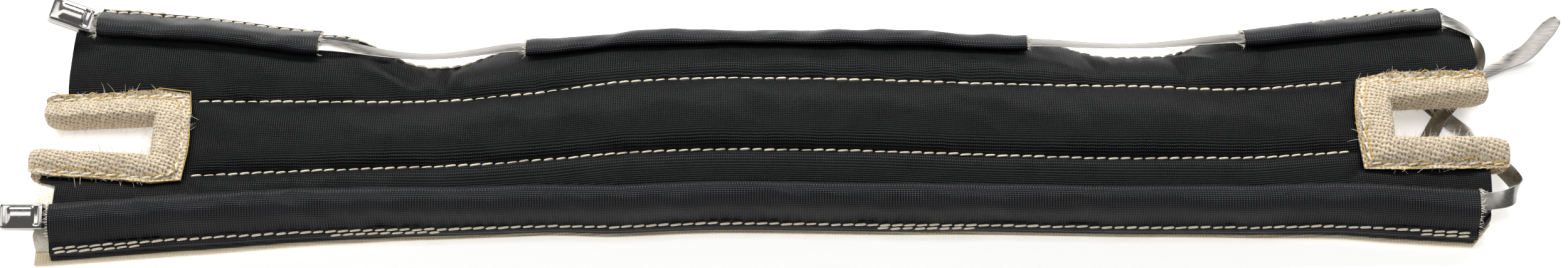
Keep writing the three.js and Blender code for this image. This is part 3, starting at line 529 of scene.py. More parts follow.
class MeshParts:
    """Vertices, faces and pattern places of a mesh that is being put together."""

    def __init__(self) -> None:
        """Starts with nothing."""
        self.points: list[Array] = []
        self.faces: list[Array] = []
        self.places: list[Array] = []
        self.count = 0

    def add(self, points: Array, faces: list[Array], places: Array) -> None:
        """Adds a shell, turned so that its volume, a sixth of the sum of triple products, is positive.

        Args:
            points: Vertices in millimetres.
            faces: Arrays of faces with equal numbers of corners.
            places: Pattern place of each vertex in millimetres.
        """
        volume = 0.0
        for group in faces:
            a = points[group[:, 0]]
            for k in range(1, group.shape[1] - 1):
                volume += np.einsum("ij,ij->", a, np.cross(points[group[:, k]], points[group[:, k + 1]]))
        for group in faces:
            self.faces.append((group if volume > 0 else group[:, ::-1]) + self.count)
        self.points.append(points)
        self.places.append(places)
        self.count += len(points)


def grid_sheet(parts: MeshParts, top: Array, bottom: Array, places: Array, keep: Array) -> None:
    """Closed sheet: an upper and a lower grid, joined by walls wherever a kept cell has an open side.

    Args:
        parts: Mesh that the sheet is added to.
        top: Upper points, one for each column and row.
        bottom: Lower points.
        places: Pattern places.
        keep: True for each cell that is cloth.
    """
    nx, ny = top.shape[:2]
    n = nx * ny
    index = np.arange(n).reshape(nx, ny)
    a, b, c, d = index[:-1, :-1], index[1:, :-1], index[1:, 1:], index[:-1, 1:]
    quads = [np.stack([a, b, c, d], -1)[keep], np.stack([a, d, c, b], -1)[keep] + n]
    padded = np.pad(keep, 1)
    for (p, q), beyond in (
        ((a, b), padded[1:-1, :-2]), ((b, c), padded[2:, 1:-1]),
        ((c, d), padded[1:-1, 2:]), ((d, a), padded[:-2, 1:-1]),
    ):
        wall = keep & ~beyond
        quads.append(np.stack([p + n, q + n, q, p], -1)[wall])
    faces = np.concatenate(quads)
    used, inverse = np.unique(faces, return_inverse=True)
    points = np.concatenate([top.reshape(-1, 3), bottom.reshape(-1, 3)])[used]
    parts.add(points, [inverse.reshape(faces.shape)], np.tile(places.reshape(-1, 2), (2, 1))[used])


def tubes(parts: MeshParts, rings: Array, places: Array) -> None:
    """Closed tubes: rings joined by quads, with a flat face on the first and the last ring.

    Args:
        parts: Mesh that the tubes are added to.
        rings: Points, by tube, ring and corner.
        places: Pattern places of the same points.
    """
    count, along, around = rings.shape[:3]
    index = np.arange(count * along * around).reshape(count, along, around)
    nxt = np.roll(index, -1, axis=2)
    sides = np.stack([index[:, :-1], nxt[:, :-1], nxt[:, 1:], index[:, 1:]], -1).reshape(-1, 4)
    caps = np.concatenate([index[:, 0, ::-1], index[:, -1]])
    parts.add(rings.reshape(-1, 3), [sides, caps], places.reshape(-1, 2))


def sleeve(parts: MeshParts, outer: Array, inner: Array, places: Array) -> None:
    """Open tube with a wall: an outer and an inner skin, joined by a ring of quads at each end.

    Args:
        parts: Mesh that the sleeve is added to.
        outer: Outer points, by ring and corner.
        inner: Inner points.
        places: Pattern places of the outer points.
    """
    index = np.arange(outer.shape[0] * outer.shape[1]).reshape(outer.shape[:2])
    nxt, n = np.roll(index, -1, axis=1), index.size
    side = np.stack([index[:-1], nxt[:-1], nxt[1:], index[1:]], -1).reshape(-1, 4)
    first = np.stack([nxt[0], index[0], index[0] + n, nxt[0] + n], -1)
    last = np.stack([index[-1], nxt[-1], nxt[-1] + n, index[-1] + n], -1)
    points = np.concatenate([outer.reshape(-1, 3), inner.reshape(-1, 3)])
    faces = np.concatenate([side, side[:, ::-1] + n, first, last])
    parts.add(points, [faces], np.tile(places.reshape(-1, 2), (2, 1)))


def cords(parts: MeshParts, paths: Array, radius: Array, around: int = 5) -> None:
    """Round cords: circles of the given radius square to each path, with a steady up direction.

    Args:
        parts: Mesh that the cords are added to.
        paths: Middle points, by cord and ring.
        radius: Radii, by cord and ring.
        around: Corners of each circle.
    """
    along = unit(np.gradient(paths, axis=1))
    side = unit(np.cross(np.broadcast_to([0.11, 0.07, 1.0], along.shape), along))
    up = np.cross(along, side)
    angle = np.linspace(0, 2 * np.pi, around, endpoint=False)
    circle = side[:, :, None] * np.cos(angle)[:, None] + up[:, :, None] * np.sin(angle)[:, None]
    rings = paths[:, :, None] + circle * radius[:, :, None, None]
    step = np.linalg.norm(np.diff(paths, axis=1), axis=-1).cumsum(1)
    length = np.concatenate([np.zeros((len(paths), 1)), step], 1)[:, :, None]
    places = np.stack(np.broadcast_arrays(length, radius[:, :, None] * angle), -1)
    tubes(parts, rings, places)


def linear(code: str) -> tuple[float, float, float, float]:
    """Returns an sRGB hex colour as linear red, green, blue and one for alpha."""
    parts = [int(code[k : k + 2], 16) / 255 for k in (1, 3, 5)]
    return (*(c / 12.92 if c <= 0.04045 else ((c + 0.055) / 1.055) ** 2.4 for c in parts), 1.0)


def set_inputs(material: bpy.types.Material, node: bpy.types.Node, inputs: Inputs) -> None:
    """Gives a shader node its inputs.

    Args:
        material: Material that the node is in.
        node: Node.
        inputs: For each input, by name or number, a value or the socket it is linked from.
    """
    for name, value in inputs.items():
        if isinstance(value, bpy.types.NodeSocket):
            material.node_tree.links.new(value, node.inputs[name])
        else:
            node.inputs[name].default_value = value


def add_node(material: bpy.types.Material, kind: str, inputs: Inputs | None = None,
             **settings: object) -> bpy.types.Node:
    """Adds a shader node.

    Args:
        material: Material it goes into.
        kind: Type of the node.
        inputs: For each input, a value or the socket it is linked from.
        settings: Properties of the node.

    Returns:
        The node.
    """
    node = material.node_tree.nodes.new(kind)
    for name, value in settings.items():
        setattr(node, name, value)
    set_inputs(material, node, inputs or {})
    return node


def add_ramp(material: bpy.types.Material, factor: bpy.types.NodeSocket, low: tuple[float, str],
             high: tuple[float, str]) -> bpy.types.NodeSocket:
    """Adds a ramp between two colours.

    Args:
        material: Material it goes into.
        factor: What the colour depends on.
        low: Factor and sRGB hex colour where the ramp starts.
        high: Factor and sRGB hex colour where it ends.

    Returns:
        The colour.
    """
    ramp = add_node(material, "ShaderNodeValToRGB", {"Fac": factor})
    for element, (place, colour) in zip(ramp.color_ramp.elements, (low, high)):
        element.position, element.color = place, linear(colour)
    return ramp.outputs["Color"]


def add_bump(material: bpy.types.Material, height: bpy.types.NodeSocket, strength: float,
             distance: float) -> bpy.types.NodeSocket:
    """Adds a bump.

    Args:
        material: Material it goes into.
        height: Height of the surface, as a share of the distance.
        strength: Share of the bump that shows.
        distance: Depth in metres.

    Returns:
        The direction of the bumpy surface.
    """
    bump = add_node(material, "ShaderNodeBump", {
        "Strength": strength, "Distance": distance, "Height": height,
    })
    return bump.outputs["Normal"]


def bands_per_metre(pitch: float) -> float:
    """Returns the Wave Texture scale whose bands repeat every pitch millimetres."""
    return math.pi / 10 / (pitch / 1000)


def start_material(name: str) -> tuple[bpy.types.Material, bpy.types.Node]:
    """Starts a material.

    Args:
        name: Name of the finish.

    Returns:
        The material and its shader.
    """
    material = bpy.data.materials.new(name)
    material.use_nodes = True
    return material, material.node_tree.nodes["Principled BSDF"]


@dataclass(frozen=True)
class WovenCloth:
    """Woven glass cloth. Crossing yarns leave a fine grid of crowns, and a coating partly fills it."""

    name: str
    colour: str
    worn: str
    roughness: float
    specular: float
    sheen: float
    warp_pitch: float
    weft_pitch: float
    bump: float
    crown_share: float = 0.55
    clouds_per_metre: float = 95.0

    def build(self) -> bpy.types.Material:
        """Returns the material: yarn crowns are the product of two waves, over cloudy colour, lighter where
        high as painted sheen.
        """
        material, shader = start_material(self.name)
        place = add_node(material, "ShaderNodeUVMap", uv_map="pattern").outputs["UV"]
        warp, weft = (
            add_node(material, "ShaderNodeTexWave", {
                "Vector": place, "Scale": bands_per_metre(pitch), "Distortion": 0.6, "Detail": 1.0,
            }, bands_direction=direction).outputs["Fac"]
            for pitch, direction in ((self.warp_pitch, "X"), (self.weft_pitch, "Y"))
        )
        crowns = add_node(material, "ShaderNodeMath", {0: warp, 1: weft}, operation="MULTIPLY").outputs[0]
        clouds = add_node(material, "ShaderNodeTexNoise", {
            "Vector": place, "Scale": self.clouds_per_metre, "Detail": 5.0, "Roughness": 0.62,
        }).outputs["Fac"]
        grain = add_node(material, "ShaderNodeMath", {
            0: crowns, 1: self.crown_share, 2: clouds,
        }, operation="MULTIPLY_ADD").outputs[0]
        gloss = add_node(material, "ShaderNodeMapRange", {
            "Value": clouds, "From Min": 0.3, "From Max": 0.7,
            "To Min": self.roughness - 0.07, "To Max": self.roughness + 0.09,
        })
        # The colour lightens where crowns and clouds stand high: painted sheen on the yarn crowns, mixed with
        # random tone of the cloth
        set_inputs(material, shader, {
            "Base Color": add_ramp(material, grain, (0.35, self.colour), (1.0, self.worn)),
            "Roughness": gloss.outputs["Result"],
            "Normal": add_bump(material, grain, self.bump, 0.00055),
            "Specular IOR Level": self.specular, "Sheen Weight": self.sheen, "Sheen Roughness": 0.4,
        })
        return material


@dataclass(frozen=True)
class KnittedTape:
    """Knitted glass tape: tan yarns in rows of open loops, with a brown grid of painted shade in the hollows
    between them.
    """

    name: str
    yarn: str
    hollow: str
    loop_pitch: float
    row_pitch: float

    def build(self) -> bpy.types.Material:
        """Returns the material: loops are two slanting waves, darker where both are low, as painted shade in
        the hollows.
        """
        material, shader = start_material(self.name)
        place = add_node(material, "ShaderNodeUVMap", uv_map="pattern").outputs["UV"]
        slant = add_node(material, "ShaderNodeMapping", {"Vector": place, "Rotation": (0, 0, LOOP_SLANT)})
        rows, loops = (
            add_node(material, "ShaderNodeTexWave", {
                "Vector": slant.outputs["Vector"], "Scale": bands_per_metre(pitch),
                "Distortion": distortion, "Detail": 2.0, "Detail Scale": 2.0,
            }, bands_direction=direction).outputs["Fac"]
            for pitch, distortion, direction in ((self.row_pitch, 3.5, "Y"), (self.loop_pitch, 5.0, "X"))
        )
        knit = add_node(material, "ShaderNodeMath", {0: rows, 1: loops}, operation="ADD").outputs[0]
        # The brown colour where the knit is low is painted shade in the hollows between the loops
        set_inputs(material, shader, {
            "Base Color": add_ramp(material, knit, (0.15, self.hollow), (0.8, self.yarn)),
            "Normal": add_bump(material, knit, 0.7, 0.00025),
            "Roughness": 0.85, "Specular IOR Level": 0.25, "Sheen Weight": 0.2,
        })
        return material


@dataclass(frozen=True)
class LooseFibre:
    """Felt or thread: matt fibres whose colour and height vary over a few tenths of a millimetre."""

    name: str
    light: str
    dark: str
    size: float
    roughness: float
    bump: float

    def build(self) -> bpy.types.Material:
        """Returns the material: noise of the fibres' size mixes the two colours and lifts the surface."""
        material, shader = start_material(self.name)
        place = add_node(material, "ShaderNodeTexCoord").outputs["Object"]
        noise = add_node(material, "ShaderNodeTexNoise", {
            "Vector": place, "Scale": 1000 / self.size, "Detail": 4.0, "Roughness": 0.65,
        }).outputs["Fac"]
        set_inputs(material, shader, {
            "Base Color": add_ramp(material, noise, (0.32, self.dark), (0.62, self.light)),
            "Normal": add_bump(material, noise, self.bump, 0.0003),
            "Roughness": self.roughness, "Specular IOR Level": 0.3,
        })
        return material


@dataclass(frozen=True)
class StainlessSteel:
    """Stainless steel. Rolling leaves fine streaks along a band, and polishing leaves faint marks."""

    name: str
    colour: str
    roughness: float
    streak: tuple[float, float, float]

    def build(self) -> bpy.types.Material:
        """Returns the material: stretched noise varies the roughness and the height."""
        material, shader = start_material(self.name)
        place = add_node(material, "ShaderNodeTexCoord").outputs["Object"]
        turned = add_node(material, "ShaderNodeMapping", {"Vector": place, "Scale": self.streak})
        noise = add_node(material, "ShaderNodeTexNoise", {
            "Vector": turned.outputs["Vector"], "Scale": 1.0, "Detail": 4.0,
        }).outputs["Fac"]
        gloss = add_node(material, "ShaderNodeMapRange", {
            "Value": noise, "From Min": 0.3, "From Max": 0.7,
            "To Min": self.roughness * 0.7, "To Max": self.roughness * 1.4,
        })
        set_inputs(material, shader, {
            "Base Color": linear(self.colour), "Metallic": 1.0, "Roughness": gloss.outputs["Result"],
            "Normal": add_bump(material, noise, 0.08, 0.00005),
        })
        return material


class Finish(Enum):
    """Finish of each kind of piece: the name of its slot, and its material."""

    # The second, lighter colour of each woven cloth is painted sheen on its yarn crowns, mixed with random
    # tone
    COVER = "black_cloth", WovenCloth(
        "silicone_coated_glass_cloth", colour="#050606", worn="#141517", roughness=0.4, specular=0.17,
        sheen=0.0, warp_pitch=0.6, weft_pitch=0.54, bump=1.0)
    CASING = "casing_cloth", WovenCloth(
        "calendered_coated_glass_cloth", colour="#060709", worn="#14151a", roughness=0.33, specular=0.24,
        sheen=0.0, warp_pitch=0.7, weft_pitch=0.5, bump=0.6)
    LINER = "liner_cloth", WovenCloth(
        "plain_woven_glass_cloth", colour="#e3d0ac", worn="#fff3da", roughness=0.85, specular=0.25,
        sheen=0.1, warp_pitch=0.8, weft_pitch=0.8, bump=0.8)
    FELT = "felt", LooseFibre(
        "needled_glass_felt", light="#f6f0e2", dark="#d0c4ac", size=0.5, roughness=0.95, bump=0.9)
    THREAD = "thread", LooseFibre(
        "twisted_sewing_thread", light="#f3ebd8", dark="#c6b99c", size=0.3, roughness=0.75, bump=0.7)
    ARAMID = "thread", LooseFibre(
        "aramid_thread", light="#dfba58", dark="#b08a3a", size=0.3, roughness=0.7, bump=0.6)
    FIBRE = "thread", LooseFibre(
        "loose_glass_fibre", light="#f2ede2", dark="#d5ccba", size=0.4, roughness=0.8, bump=0.2)
    # The tape's darker hollow colour is painted shade between its loops
    TAPE = "knit_tape", KnittedTape(
        "knitted_glass_tape", yarn="#cdbda3", hollow="#83715a", loop_pitch=LOOP_PITCH, row_pitch=ROW_PITCH)
    BAND = "band_steel", StainlessSteel(
        "rolled_stainless_band", colour="#94918c", roughness=0.3, streak=(60, 2600, 2600))
    HEAD = "head_steel", StainlessSteel(
        "polished_stainless_pressing", colour="#a3a19e", roughness=0.15, streak=(1400, 1400, 1400))

    @property
    def slot(self) -> str:
        """Name of its slot."""
        return self.value[0]


@cache
def material_of(finish: Finish) -> bpy.types.Material:
    """Returns the material of a finish, built once."""
    return finish.value[1].build()


def make_piece(name: str, parts: MeshParts, finish: Finish, nodes: tuple[str, ...] = ()) -> bpy.types.Object:
    """Puts a mesh into the scene, in metres in the shared frame.

    Args:
        name: Name of the piece.
        parts: Shells of the mesh in millimetres.
        finish: Finish of the piece.
        nodes: Nodes that the piece stands for.

    Returns:
        The piece.
    """
    points = (np.concatenate(parts.points) + FRAME_SHIFT) / 1000
    mesh = bpy.data.meshes.new(name)
    mesh.from_pydata(points.tolist(), [], [face for group in parts.faces for face in group.tolist()])
    corners = np.empty(len(mesh.loops), dtype=np.int32)
    mesh.loops.foreach_get("vertex_index", corners)
    layer = mesh.uv_layers.new(name="pattern")
    layer.data.foreach_set("uv", (np.concatenate(parts.places)[corners] / 1000).ravel())
    mesh.polygons.foreach_set("use_smooth", np.ones(len(mesh.polygons), dtype=bool))
    mesh.set_sharp_from_angle(angle=math.radians(SHARP_ANGLE))
    mesh.materials.append(material_of(finish))
    piece = bpy.data.objects.new(name, mesh)
    bpy.context.scene.collection.objects.link(piece)
    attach(piece, "root")
    if nodes:
        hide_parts(*nodes)
    LOG.info("%s: %d faces", name, len(mesh.polygons))
    return piece


@dataclass
class Layer:
    """Grid of one layer: where heights are worked out, where it is drawn, and which cells are cloth."""

    x: Array
    v: Array
    drawn_x: Array
    drawn_v: Array
    keep: Array

    def flat(self) -> tuple[float, float]:
        """Returns the width and length it is cut to, in metres."""
        return np.ptp(self.drawn_v) / 1000, np.ptp(self.drawn_x) / 1000

    def area(self) -> float:
        """Returns its flat area in square metres: the sum of its kept cells."""
        x, v = self.drawn_x, self.drawn_v
        first = np.stack([x[1:, 1:] - x[:-1, :-1], v[1:, 1:] - v[:-1, :-1]])
        second = np.stack([x[:-1, 1:] - x[1:, :-1], v[:-1, 1:] - v[1:, :-1]])
        cells = np.abs(first[0] * second[1] - first[1] * second[0]) / 2
        return float(cells[self.keep].sum()) / 1e6


@dataclass
class Blanket:
    """Liner, felt and cover."""

    pattern: Pattern
    columns: int = 470
    subdivisions: tuple[int, ...] = (3, 5, 9, 6, 8, 4, 8, 8, 6, 3, 6, 10, 5, 3)
    felt_proud: float = 4.5
    liner_proud: float = 0.9
    slanting_end: float = 0.7
    corner_reach: float = 4.7
    left_far_trim: float = 3.3
    right_far_trim: float = 4.5
    right_near_flare: float = 6.0

    def stations(self) -> Array:
        """Returns even places along the shield with both webs among them."""
        step = LENGTH / self.columns
        spans = ((LEFT_END, LEFT_WEB), (LEFT_WEB, RIGHT_WEB), (RIGHT_WEB, RIGHT_END))
        runs = [np.linspace(a, b, round((b - a) / step) + 1) for a, b in spans]
        return np.unique(np.concatenate(runs).round(6))

    def overhang(self, runs_on: bool, side: Side) -> Array:
        """How far each pinned row runs past an end.

        Args:
            runs_on: True where the layer shows beyond the cover at the left end.
            side: End of the shield.

        Returns:
            Distances in millimetres, in the order of Row.
        """
        notch = NOTCHES[side]
        reach = np.zeros(len(Row))
        if runs_on and side is Side.LEFT:
            reach[: Row.NEAR_QUILTING] = self.felt_proud
        if side is Side.RIGHT:
            reach[Row.FAR_FOLD :] = -self.slanting_end * np.arange(1, 5)
        reach[[Row.NEAR_QUILTING, Row.NOTCH_NEAR]] = notch.lower_reach
        reach[[Row.NOTCH_FAR, Row.FAR_QUILTING]] = notch.upper_reach
        return reach

    def layer(self, first: Row, last: Row, runs_on: bool, proud: float = 0.0) -> Layer:
        """Pattern places of one layer, on a grid of stations and finely divided rows.

        Args:
            first: First pinned row.
            last: Last pinned row.
            runs_on: True where the layer shows beyond the cover at the left end.
            proud: How far it stands out past the near edge.

        Returns:
            The layer, with its corners trimmed and its notches left open.
        """
        steps = [k + np.arange(self.subdivisions[k]) / self.subdivisions[k] for k in range(first, last)]
        u = np.r_[np.concatenate(steps), last]
        x = self.stations()
        pinned = self.pattern.rows(x)
        low = np.minimum(np.floor(u).astype(int), Row.FAR_SEAM)
        v = mix(pinned[:, low], pinned[:, low + 1], u - low)
        grid = np.broadcast_to(x[:, None], v.shape)
        left_reach, right_reach = (
            np.interp(u, np.arange(len(Row)), self.overhang(runs_on, side)) for side in Side
        )
        share = np.clip(self.pattern.share(x), 0, None)[:, None]
        drawn_x = grid + np.where(grid < 0, -share * left_reach, share * right_reach)
        far_rows, near_rows = ease(u, Row.FAR_TAPE, Row.FAR_FOLD), 1 - ease(u, Row.NEAR_FOLD, Row.NEAR_TAPE)
        left = np.clip(1 - (x - LEFT_END) / self.corner_reach, 0, 1)
        right = np.clip(1 - (RIGHT_END - x) / self.corner_reach, 0, 1)
        far_trim = (left * self.left_far_trim + right * self.right_far_trim)[:, None]
        trim = far_trim * far_rows * v / pinned[:, -1:]
        flare = (right * self.right_near_flare)[:, None] * near_rows * np.abs(v) / pinned[:, :1]
        middle, row = (x[1:] + x[:-1]) / 2, (u[1:] + u[:-1]) / 2
        in_notch = ((middle < LEFT_WEB) | (middle > RIGHT_WEB))[:, None]
        keep = ~(in_notch & (row > Row.NOTCH_NEAR) & (row < Row.NOTCH_FAR))
        return Layer(grid, v, drawn_x, v - trim - flare - (u < 0.01) * proud, keep)

    def piece(self, name: str, node: str, finish: Finish, layer: Layer, bottom: Array,
              top: Array) -> bpy.types.Object:
        """Drapes one layer.

        Args:
            name: Name of the piece.
            node: Node it stands for.
            finish: Finish of the piece.
            layer: Its grid.
            bottom: Heights of its lower face.
            top: Heights of its upper face.

        Returns:
            The piece.
        """
        parts = MeshParts()
        x, v, drape = layer.drawn_x, layer.drawn_v, self.pattern.drape
        grid_sheet(parts, drape(x, v, top), drape(x, v, bottom), np.stack([x, v], -1), layer.keep)
        return make_piece(name, parts, finish, (node,))

    def build(self) -> None:
        """Builds the liner, the felt with its ragged left end, and the cover."""
        pattern = self.pattern
        layer = self.layer(Row.NEAR_EDGE, Row.FAR_EDGE, True, self.liner_proud)
        flat = np.zeros_like(layer.x)
        liner = self.piece("liner", "inner_liner", Finish.LINER, layer, flat, flat + LINER_THICKNESS)
        layer.flat()
        layer.area()

        layer = self.layer(Row.NEAR_SEAM, Row.FAR_SEAM, True)
        x, v = layer.x, layer.v
        layer.drawn_x = layer.drawn_x + 0.5 * value_noise(v / 0.7, 0 * v, 71) * ease(-x, 180, 189)
        top = pattern.core_top(x, v) + 0.25 * value_noise(x / 0.9, v / 0.9, 72) * ease(-x, 182, 188)
        core = self.piece("felt", "insulation_core", Finish.FELT, layer, 0 * x + CORE_BOTTOM, top)

        layer = self.layer(Row.NEAR_EDGE, Row.FAR_EDGE, False)
        x, v = layer.x, layer.v
        cover = self.piece("cover", "outer_cover", Finish.COVER, layer, pattern.cover_bottom(x, v),
                           pattern.cover_top(x, v))
        layer.flat()
        layer.area()


def round_off(corners: Array, passes: int) -> Array:
    """Closed outline whose corners are cut at a quarter and three quarters of each side, several times.

    Args:
        corners: Corners of the outline.
        passes: How often they are cut.

    Returns:
        The rounded outline.
    """
    for _ in range(passes):
        after = np.roll(corners, -1, axis=0)
        corners = np.stack([mix(corners, after, 0.25), mix(corners, after, 0.75)], 1).reshape(-1, 2)
    return corners


def resample(outline: Array, count: int) -> Array:
    """Spaces the points of a closed outline evenly.

    Args:
        outline: Points of the outline.
        count: How many points are wanted.

    Returns:
        Points at equal steps along it.
    """
    closed = np.vstack([outline, outline[:1]])
    at = run_length(closed)
    return read_off(at, closed, np.linspace(0, at[-1], count, endpoint=False))


@dataclass
class Casing:
    """Strip of cloth folded lengthwise and sewn down along one edge, with a tie inside."""

    pattern: Pattern
    name: str
    node: str
    edge: Edge
    height: float
    start: float
    stop: float
    flank: float = 0.86
    ply: float = 0.6
    lip: float = 0.3
    corners: int = 44
    ring_step: float = 0.9
    swell_height: float = 0.42
    ripple_height: float = 0.36
    pucker_height: float = 0.12

    @property
    def tail(self) -> float:
        """Distance from the edge to the seam."""
        return self.pattern.near_tail if self.edge is Edge.NEAR else self.pattern.far_tail

    def outline(self) -> tuple[Array, Array]:
        """Section of the folded strip: flat below, rounded at the fold, sloping down to the seam.

        Returns:
            The outer outline and the hollow, as distance in from the edge and height above the cover.
        """
        t, w, h, ply = self.tail, self.pattern.casing_width, self.height, self.ply
        fold = t + w
        outer = np.array([
            [self.lip, GAP], [t, GAP], [t + 0.45 * w, GAP], [fold - 0.9, GAP], [fold, GAP + 0.4 * h],
            [fold - 0.8, GAP + 0.86 * h], [t + 0.62 * w, GAP + h], [t + 0.32 * w, GAP + self.flank * h],
            [t + 0.2, GAP + 2 * ply], [self.lip, GAP + 2 * ply],
        ])
        hollow = np.array([
            [t + 0.9, GAP + ply], [t + 0.45 * w, GAP + ply], [fold - 1.2, GAP + ply],
            [fold - ply, GAP + 0.4 * h], [fold - 0.8 - 0.7 * ply, GAP + 0.82 * h - 0.6 * ply],
            [t + 0.62 * w, GAP + h - ply], [t + 0.32 * w + 0.3, GAP + (self.flank - 0.02) * h - ply],
        ])
        return resample(round_off(outer, 2), self.corners), resample(round_off(hollow, 1), self.corners)

    def skin(self, x: Array, outline: Array) -> Array:
        """Outline carried along the edge; its crown rises and falls, and puckers beside the stitches.

        Args:
            x: Stations along the shield.
            outline: Distances in from the edge and heights above the cover.

        Returns:
            Points, by station and corner.
        """
        inset, height = outline[:, 0], outline[:, 1]
        crown = ease(height, GAP + self.ply, GAP + self.height)
        swell = self.swell_height * value_noise(x / 17, 0 * x, 90 + len(self.name))[:, None]
        ripple = self.ripple_height * value_noise(x[:, None] / 6 + inset / 9, inset / 5 + 0 * x[:, None], 95)
        beside = np.exp(-((inset - self.tail - 0.6) / 1.3) ** 2)
        pucker = self.pucker_height * np.cos(2 * np.pi * x / STITCH_PITCH)[:, None] * beside
        v = self.edge.value * (self.pattern.edge(self.edge, x)[:, None] - inset)
        under = self.pattern.cover_top(x[:, None] + 0 * v, v)
        return self.pattern.drape(x[:, None], v, under + height + crown * (swell + ripple + pucker))

    def build(self) -> None:
        """Builds the strip, with pattern places along it and round its outer girth."""
        outer, hollow = self.outline()
        length = self.stop - self.start
        x = np.linspace(self.start, self.stop, round(length / self.ring_step))
        girth = np.linspace(0, run_length(outer)[-1], self.corners)
        places = np.stack(np.broadcast_arrays(x[:, None], girth), -1)
        parts = MeshParts()
        sleeve(parts, self.skin(x, outer), self.skin(x, hollow), places)
        piece = make_piece(self.name, parts, Finish.CASING, (self.node,))


@dataclass
class Stitching:
    """Rows of stitches, each a short plump length of thread whose ends dive into the cloth."""

    pattern: Pattern
    radius: float = 0.28
    length: float = 3.05
    slant: float = 0.14
    first: float = 0.25
    step: float = 0.8
    casing_plies: float = 1.2

    def stitches(self, parts: MeshParts, start: Array, end: Array, up: Array, seed: int) -> None:
        """Capsules whose radius follows the root of one less s to the sixth, dipping by s to the fourth.

        Args:
            parts: Mesh they are added to.
            start: Points where stitches begin.
            end: Points where they end.
            up: Directions away from the cloth.
            seed: Seed of the small differences between stitches.
        """
        rng = np.random.default_rng(seed)
        n = len(start)
        s = np.linspace(-1, 1, 8)
        middle, along = (start + end) / 2, (end - start) / 2
        along = along * rng.uniform(0.9, 1.06, (n, 1))
        side = unit(np.cross(up, along))
        lift = 0.2 - 0.32 * s**4
        path = middle[:, None] + along[:, None] * s[:, None] + up[:, None] * lift[:, None]
        path = path + side[:, None] * rng.normal(0, 0.07, (n, 1, 1))
        radius = self.radius * rng.uniform(0.88, 1.15, (n, 1)) * np.sqrt(1.02 - s**6)
        angle = np.linspace(0, 2 * np.pi, 7, endpoint=False)
        circle = side[:, None, None] * np.cos(angle)[:, None] + up[:, None, None] * np.sin(angle)[:, None]
        rings = path[:, :, None] + circle * radius[:, :, None, None]
        places = np.stack(np.broadcast_arrays(s[None, :, None], angle, rings[..., 0])[:2], -1)
        tubes(parts, rings, places)

    def row(self, parts: MeshParts, x: Array, v: Array, w: Array, seed: int) -> None:
        """Adds a row of stitches, one to every pitch of its length.

        Args:
            parts: Mesh they are added to.
            x: Stations along the row.
            v: Distances across.
            w: Heights of the surface that is sewn.
            seed: Seed of the small differences between stitches.
        """
        path = self.pattern.drape(x, v, w)
        rise = self.pattern.drape(x, v, w + 1) - path
        at = run_length(path)
        starts = np.arange(self.first, at[-1] - self.length, STITCH_PITCH)
        start, end = read_off(at, path, starts), read_off(at, path, starts + self.length)
        up = unit(read_off(at, rise, starts + self.length / 2))
        side = unit(np.cross(up, end - start)) * self.slant
        self.stitches(parts, start - side, end + side, up, seed)

    def seam(self, name: str, node: str, rows: list[tuple[Array, Array, Array]]) -> None:
        """Builds one seam.

        Args:
            name: Name of the piece.
            node: Node it stands for.
            rows: Stations, distances across and heights of each row of stitches.
        """
        parts = MeshParts()
        for k, (x, v, w) in enumerate(rows):
            self.row(parts, x, v, w, 200 + 7 * k + len(name))
        make_piece(name, parts, Finish.THREAD, (node,))

    def run(self, edge: Edge, start: float, stop: float, inset: float | None) -> tuple[Array, Array, Array]:
        """Places of one run of stitches along an edge.

        Args:
            edge: Edge it runs along.
            start: Station where it begins.
            stop: Station where it ends.
            inset: Distance in from the edge on a casing, or None on bare cover, where it keeps the margin.

        Returns:
            Stations, distances across and heights.
        """
        x, p = np.arange(start, stop, self.step), self.pattern
        reach = p.near_edge(x) if edge is Edge.NEAR else p.far_edge(x)
        v = edge.value * (reach - (p.far_margin(x) if inset is None else inset))
        return x, v, p.cover_top(x, v) + (0 if inset is None else GAP + self.casing_plies)

    def build(self) -> None:
        """Builds the quilting seams, and the edge seams with their doubled runs."""
        for edge in Edge:
            x = np.arange(LEFT_WEB + TAPE_WEB_LEG + 1, RIGHT_WEB - TAPE_WEB_LEG - 1, self.step)
            v = edge.value * self.pattern.half(x)
            side = edge.name.lower()
            self.seam(f"{side}_quilting", f"{side}_quilting_seam", [(x, v, self.pattern.cover_top(x, v))])
        # Where each run starts and stops, and its distance in from the edge
        near_runs = ((LEFT_END + 0.5, RIGHT_END - 4.2, 1.8), (LEFT_END + 1, -165, 0.9), (-118, -88, 0.95),
                     (24, 52, 0.95), (165, RIGHT_END - 4.5, 0.9))
        left, right = SCALLOPS[0].bare, SCALLOPS[1].bare
        far_runs = ((LEFT_END + 6.3, left[0], 1.9), (left[1], right[0], 1.9),
                    (right[1], RIGHT_END - 8.4, 1.9), (*left, None), (*right, None),
                    (LEFT_END + 7, -166, 1.1), (159, RIGHT_END - 9, 1.1))
        for edge, runs in ((Edge.NEAR, near_runs), (Edge.FAR, far_runs)):
            side = edge.name.lower()
            self.seam(f"{side}_edge_stitching", f"{side}_edge_seam", [self.run(edge, *run) for run in runs])


@dataclass
class CutEdge:
    """Places along a notch's cut edge, the direction into the cloth and the size of the tape's section."""

    x: Array
    v: Array
    into_x: Array
    into_v: Array
    size: Array

    def at(self, depth: Array | float) -> tuple[Array, Array]:
        """Returns the pattern places at a depth into the cloth."""
        return self.x + self.into_x * depth, self.v + self.into_v * depth

    def columns(self) -> CutEdge:
        """Returns the same places as columns, so that a section can be laid out across them."""
        return CutEdge(*(a[:, None] for a in vars(self).values()))

    def without_ends(self, count: int) -> CutEdge:
        """Returns the places with a few left off at both ends."""
        return CutEdge(*(a[count:-count] for a in vars(self).values()))


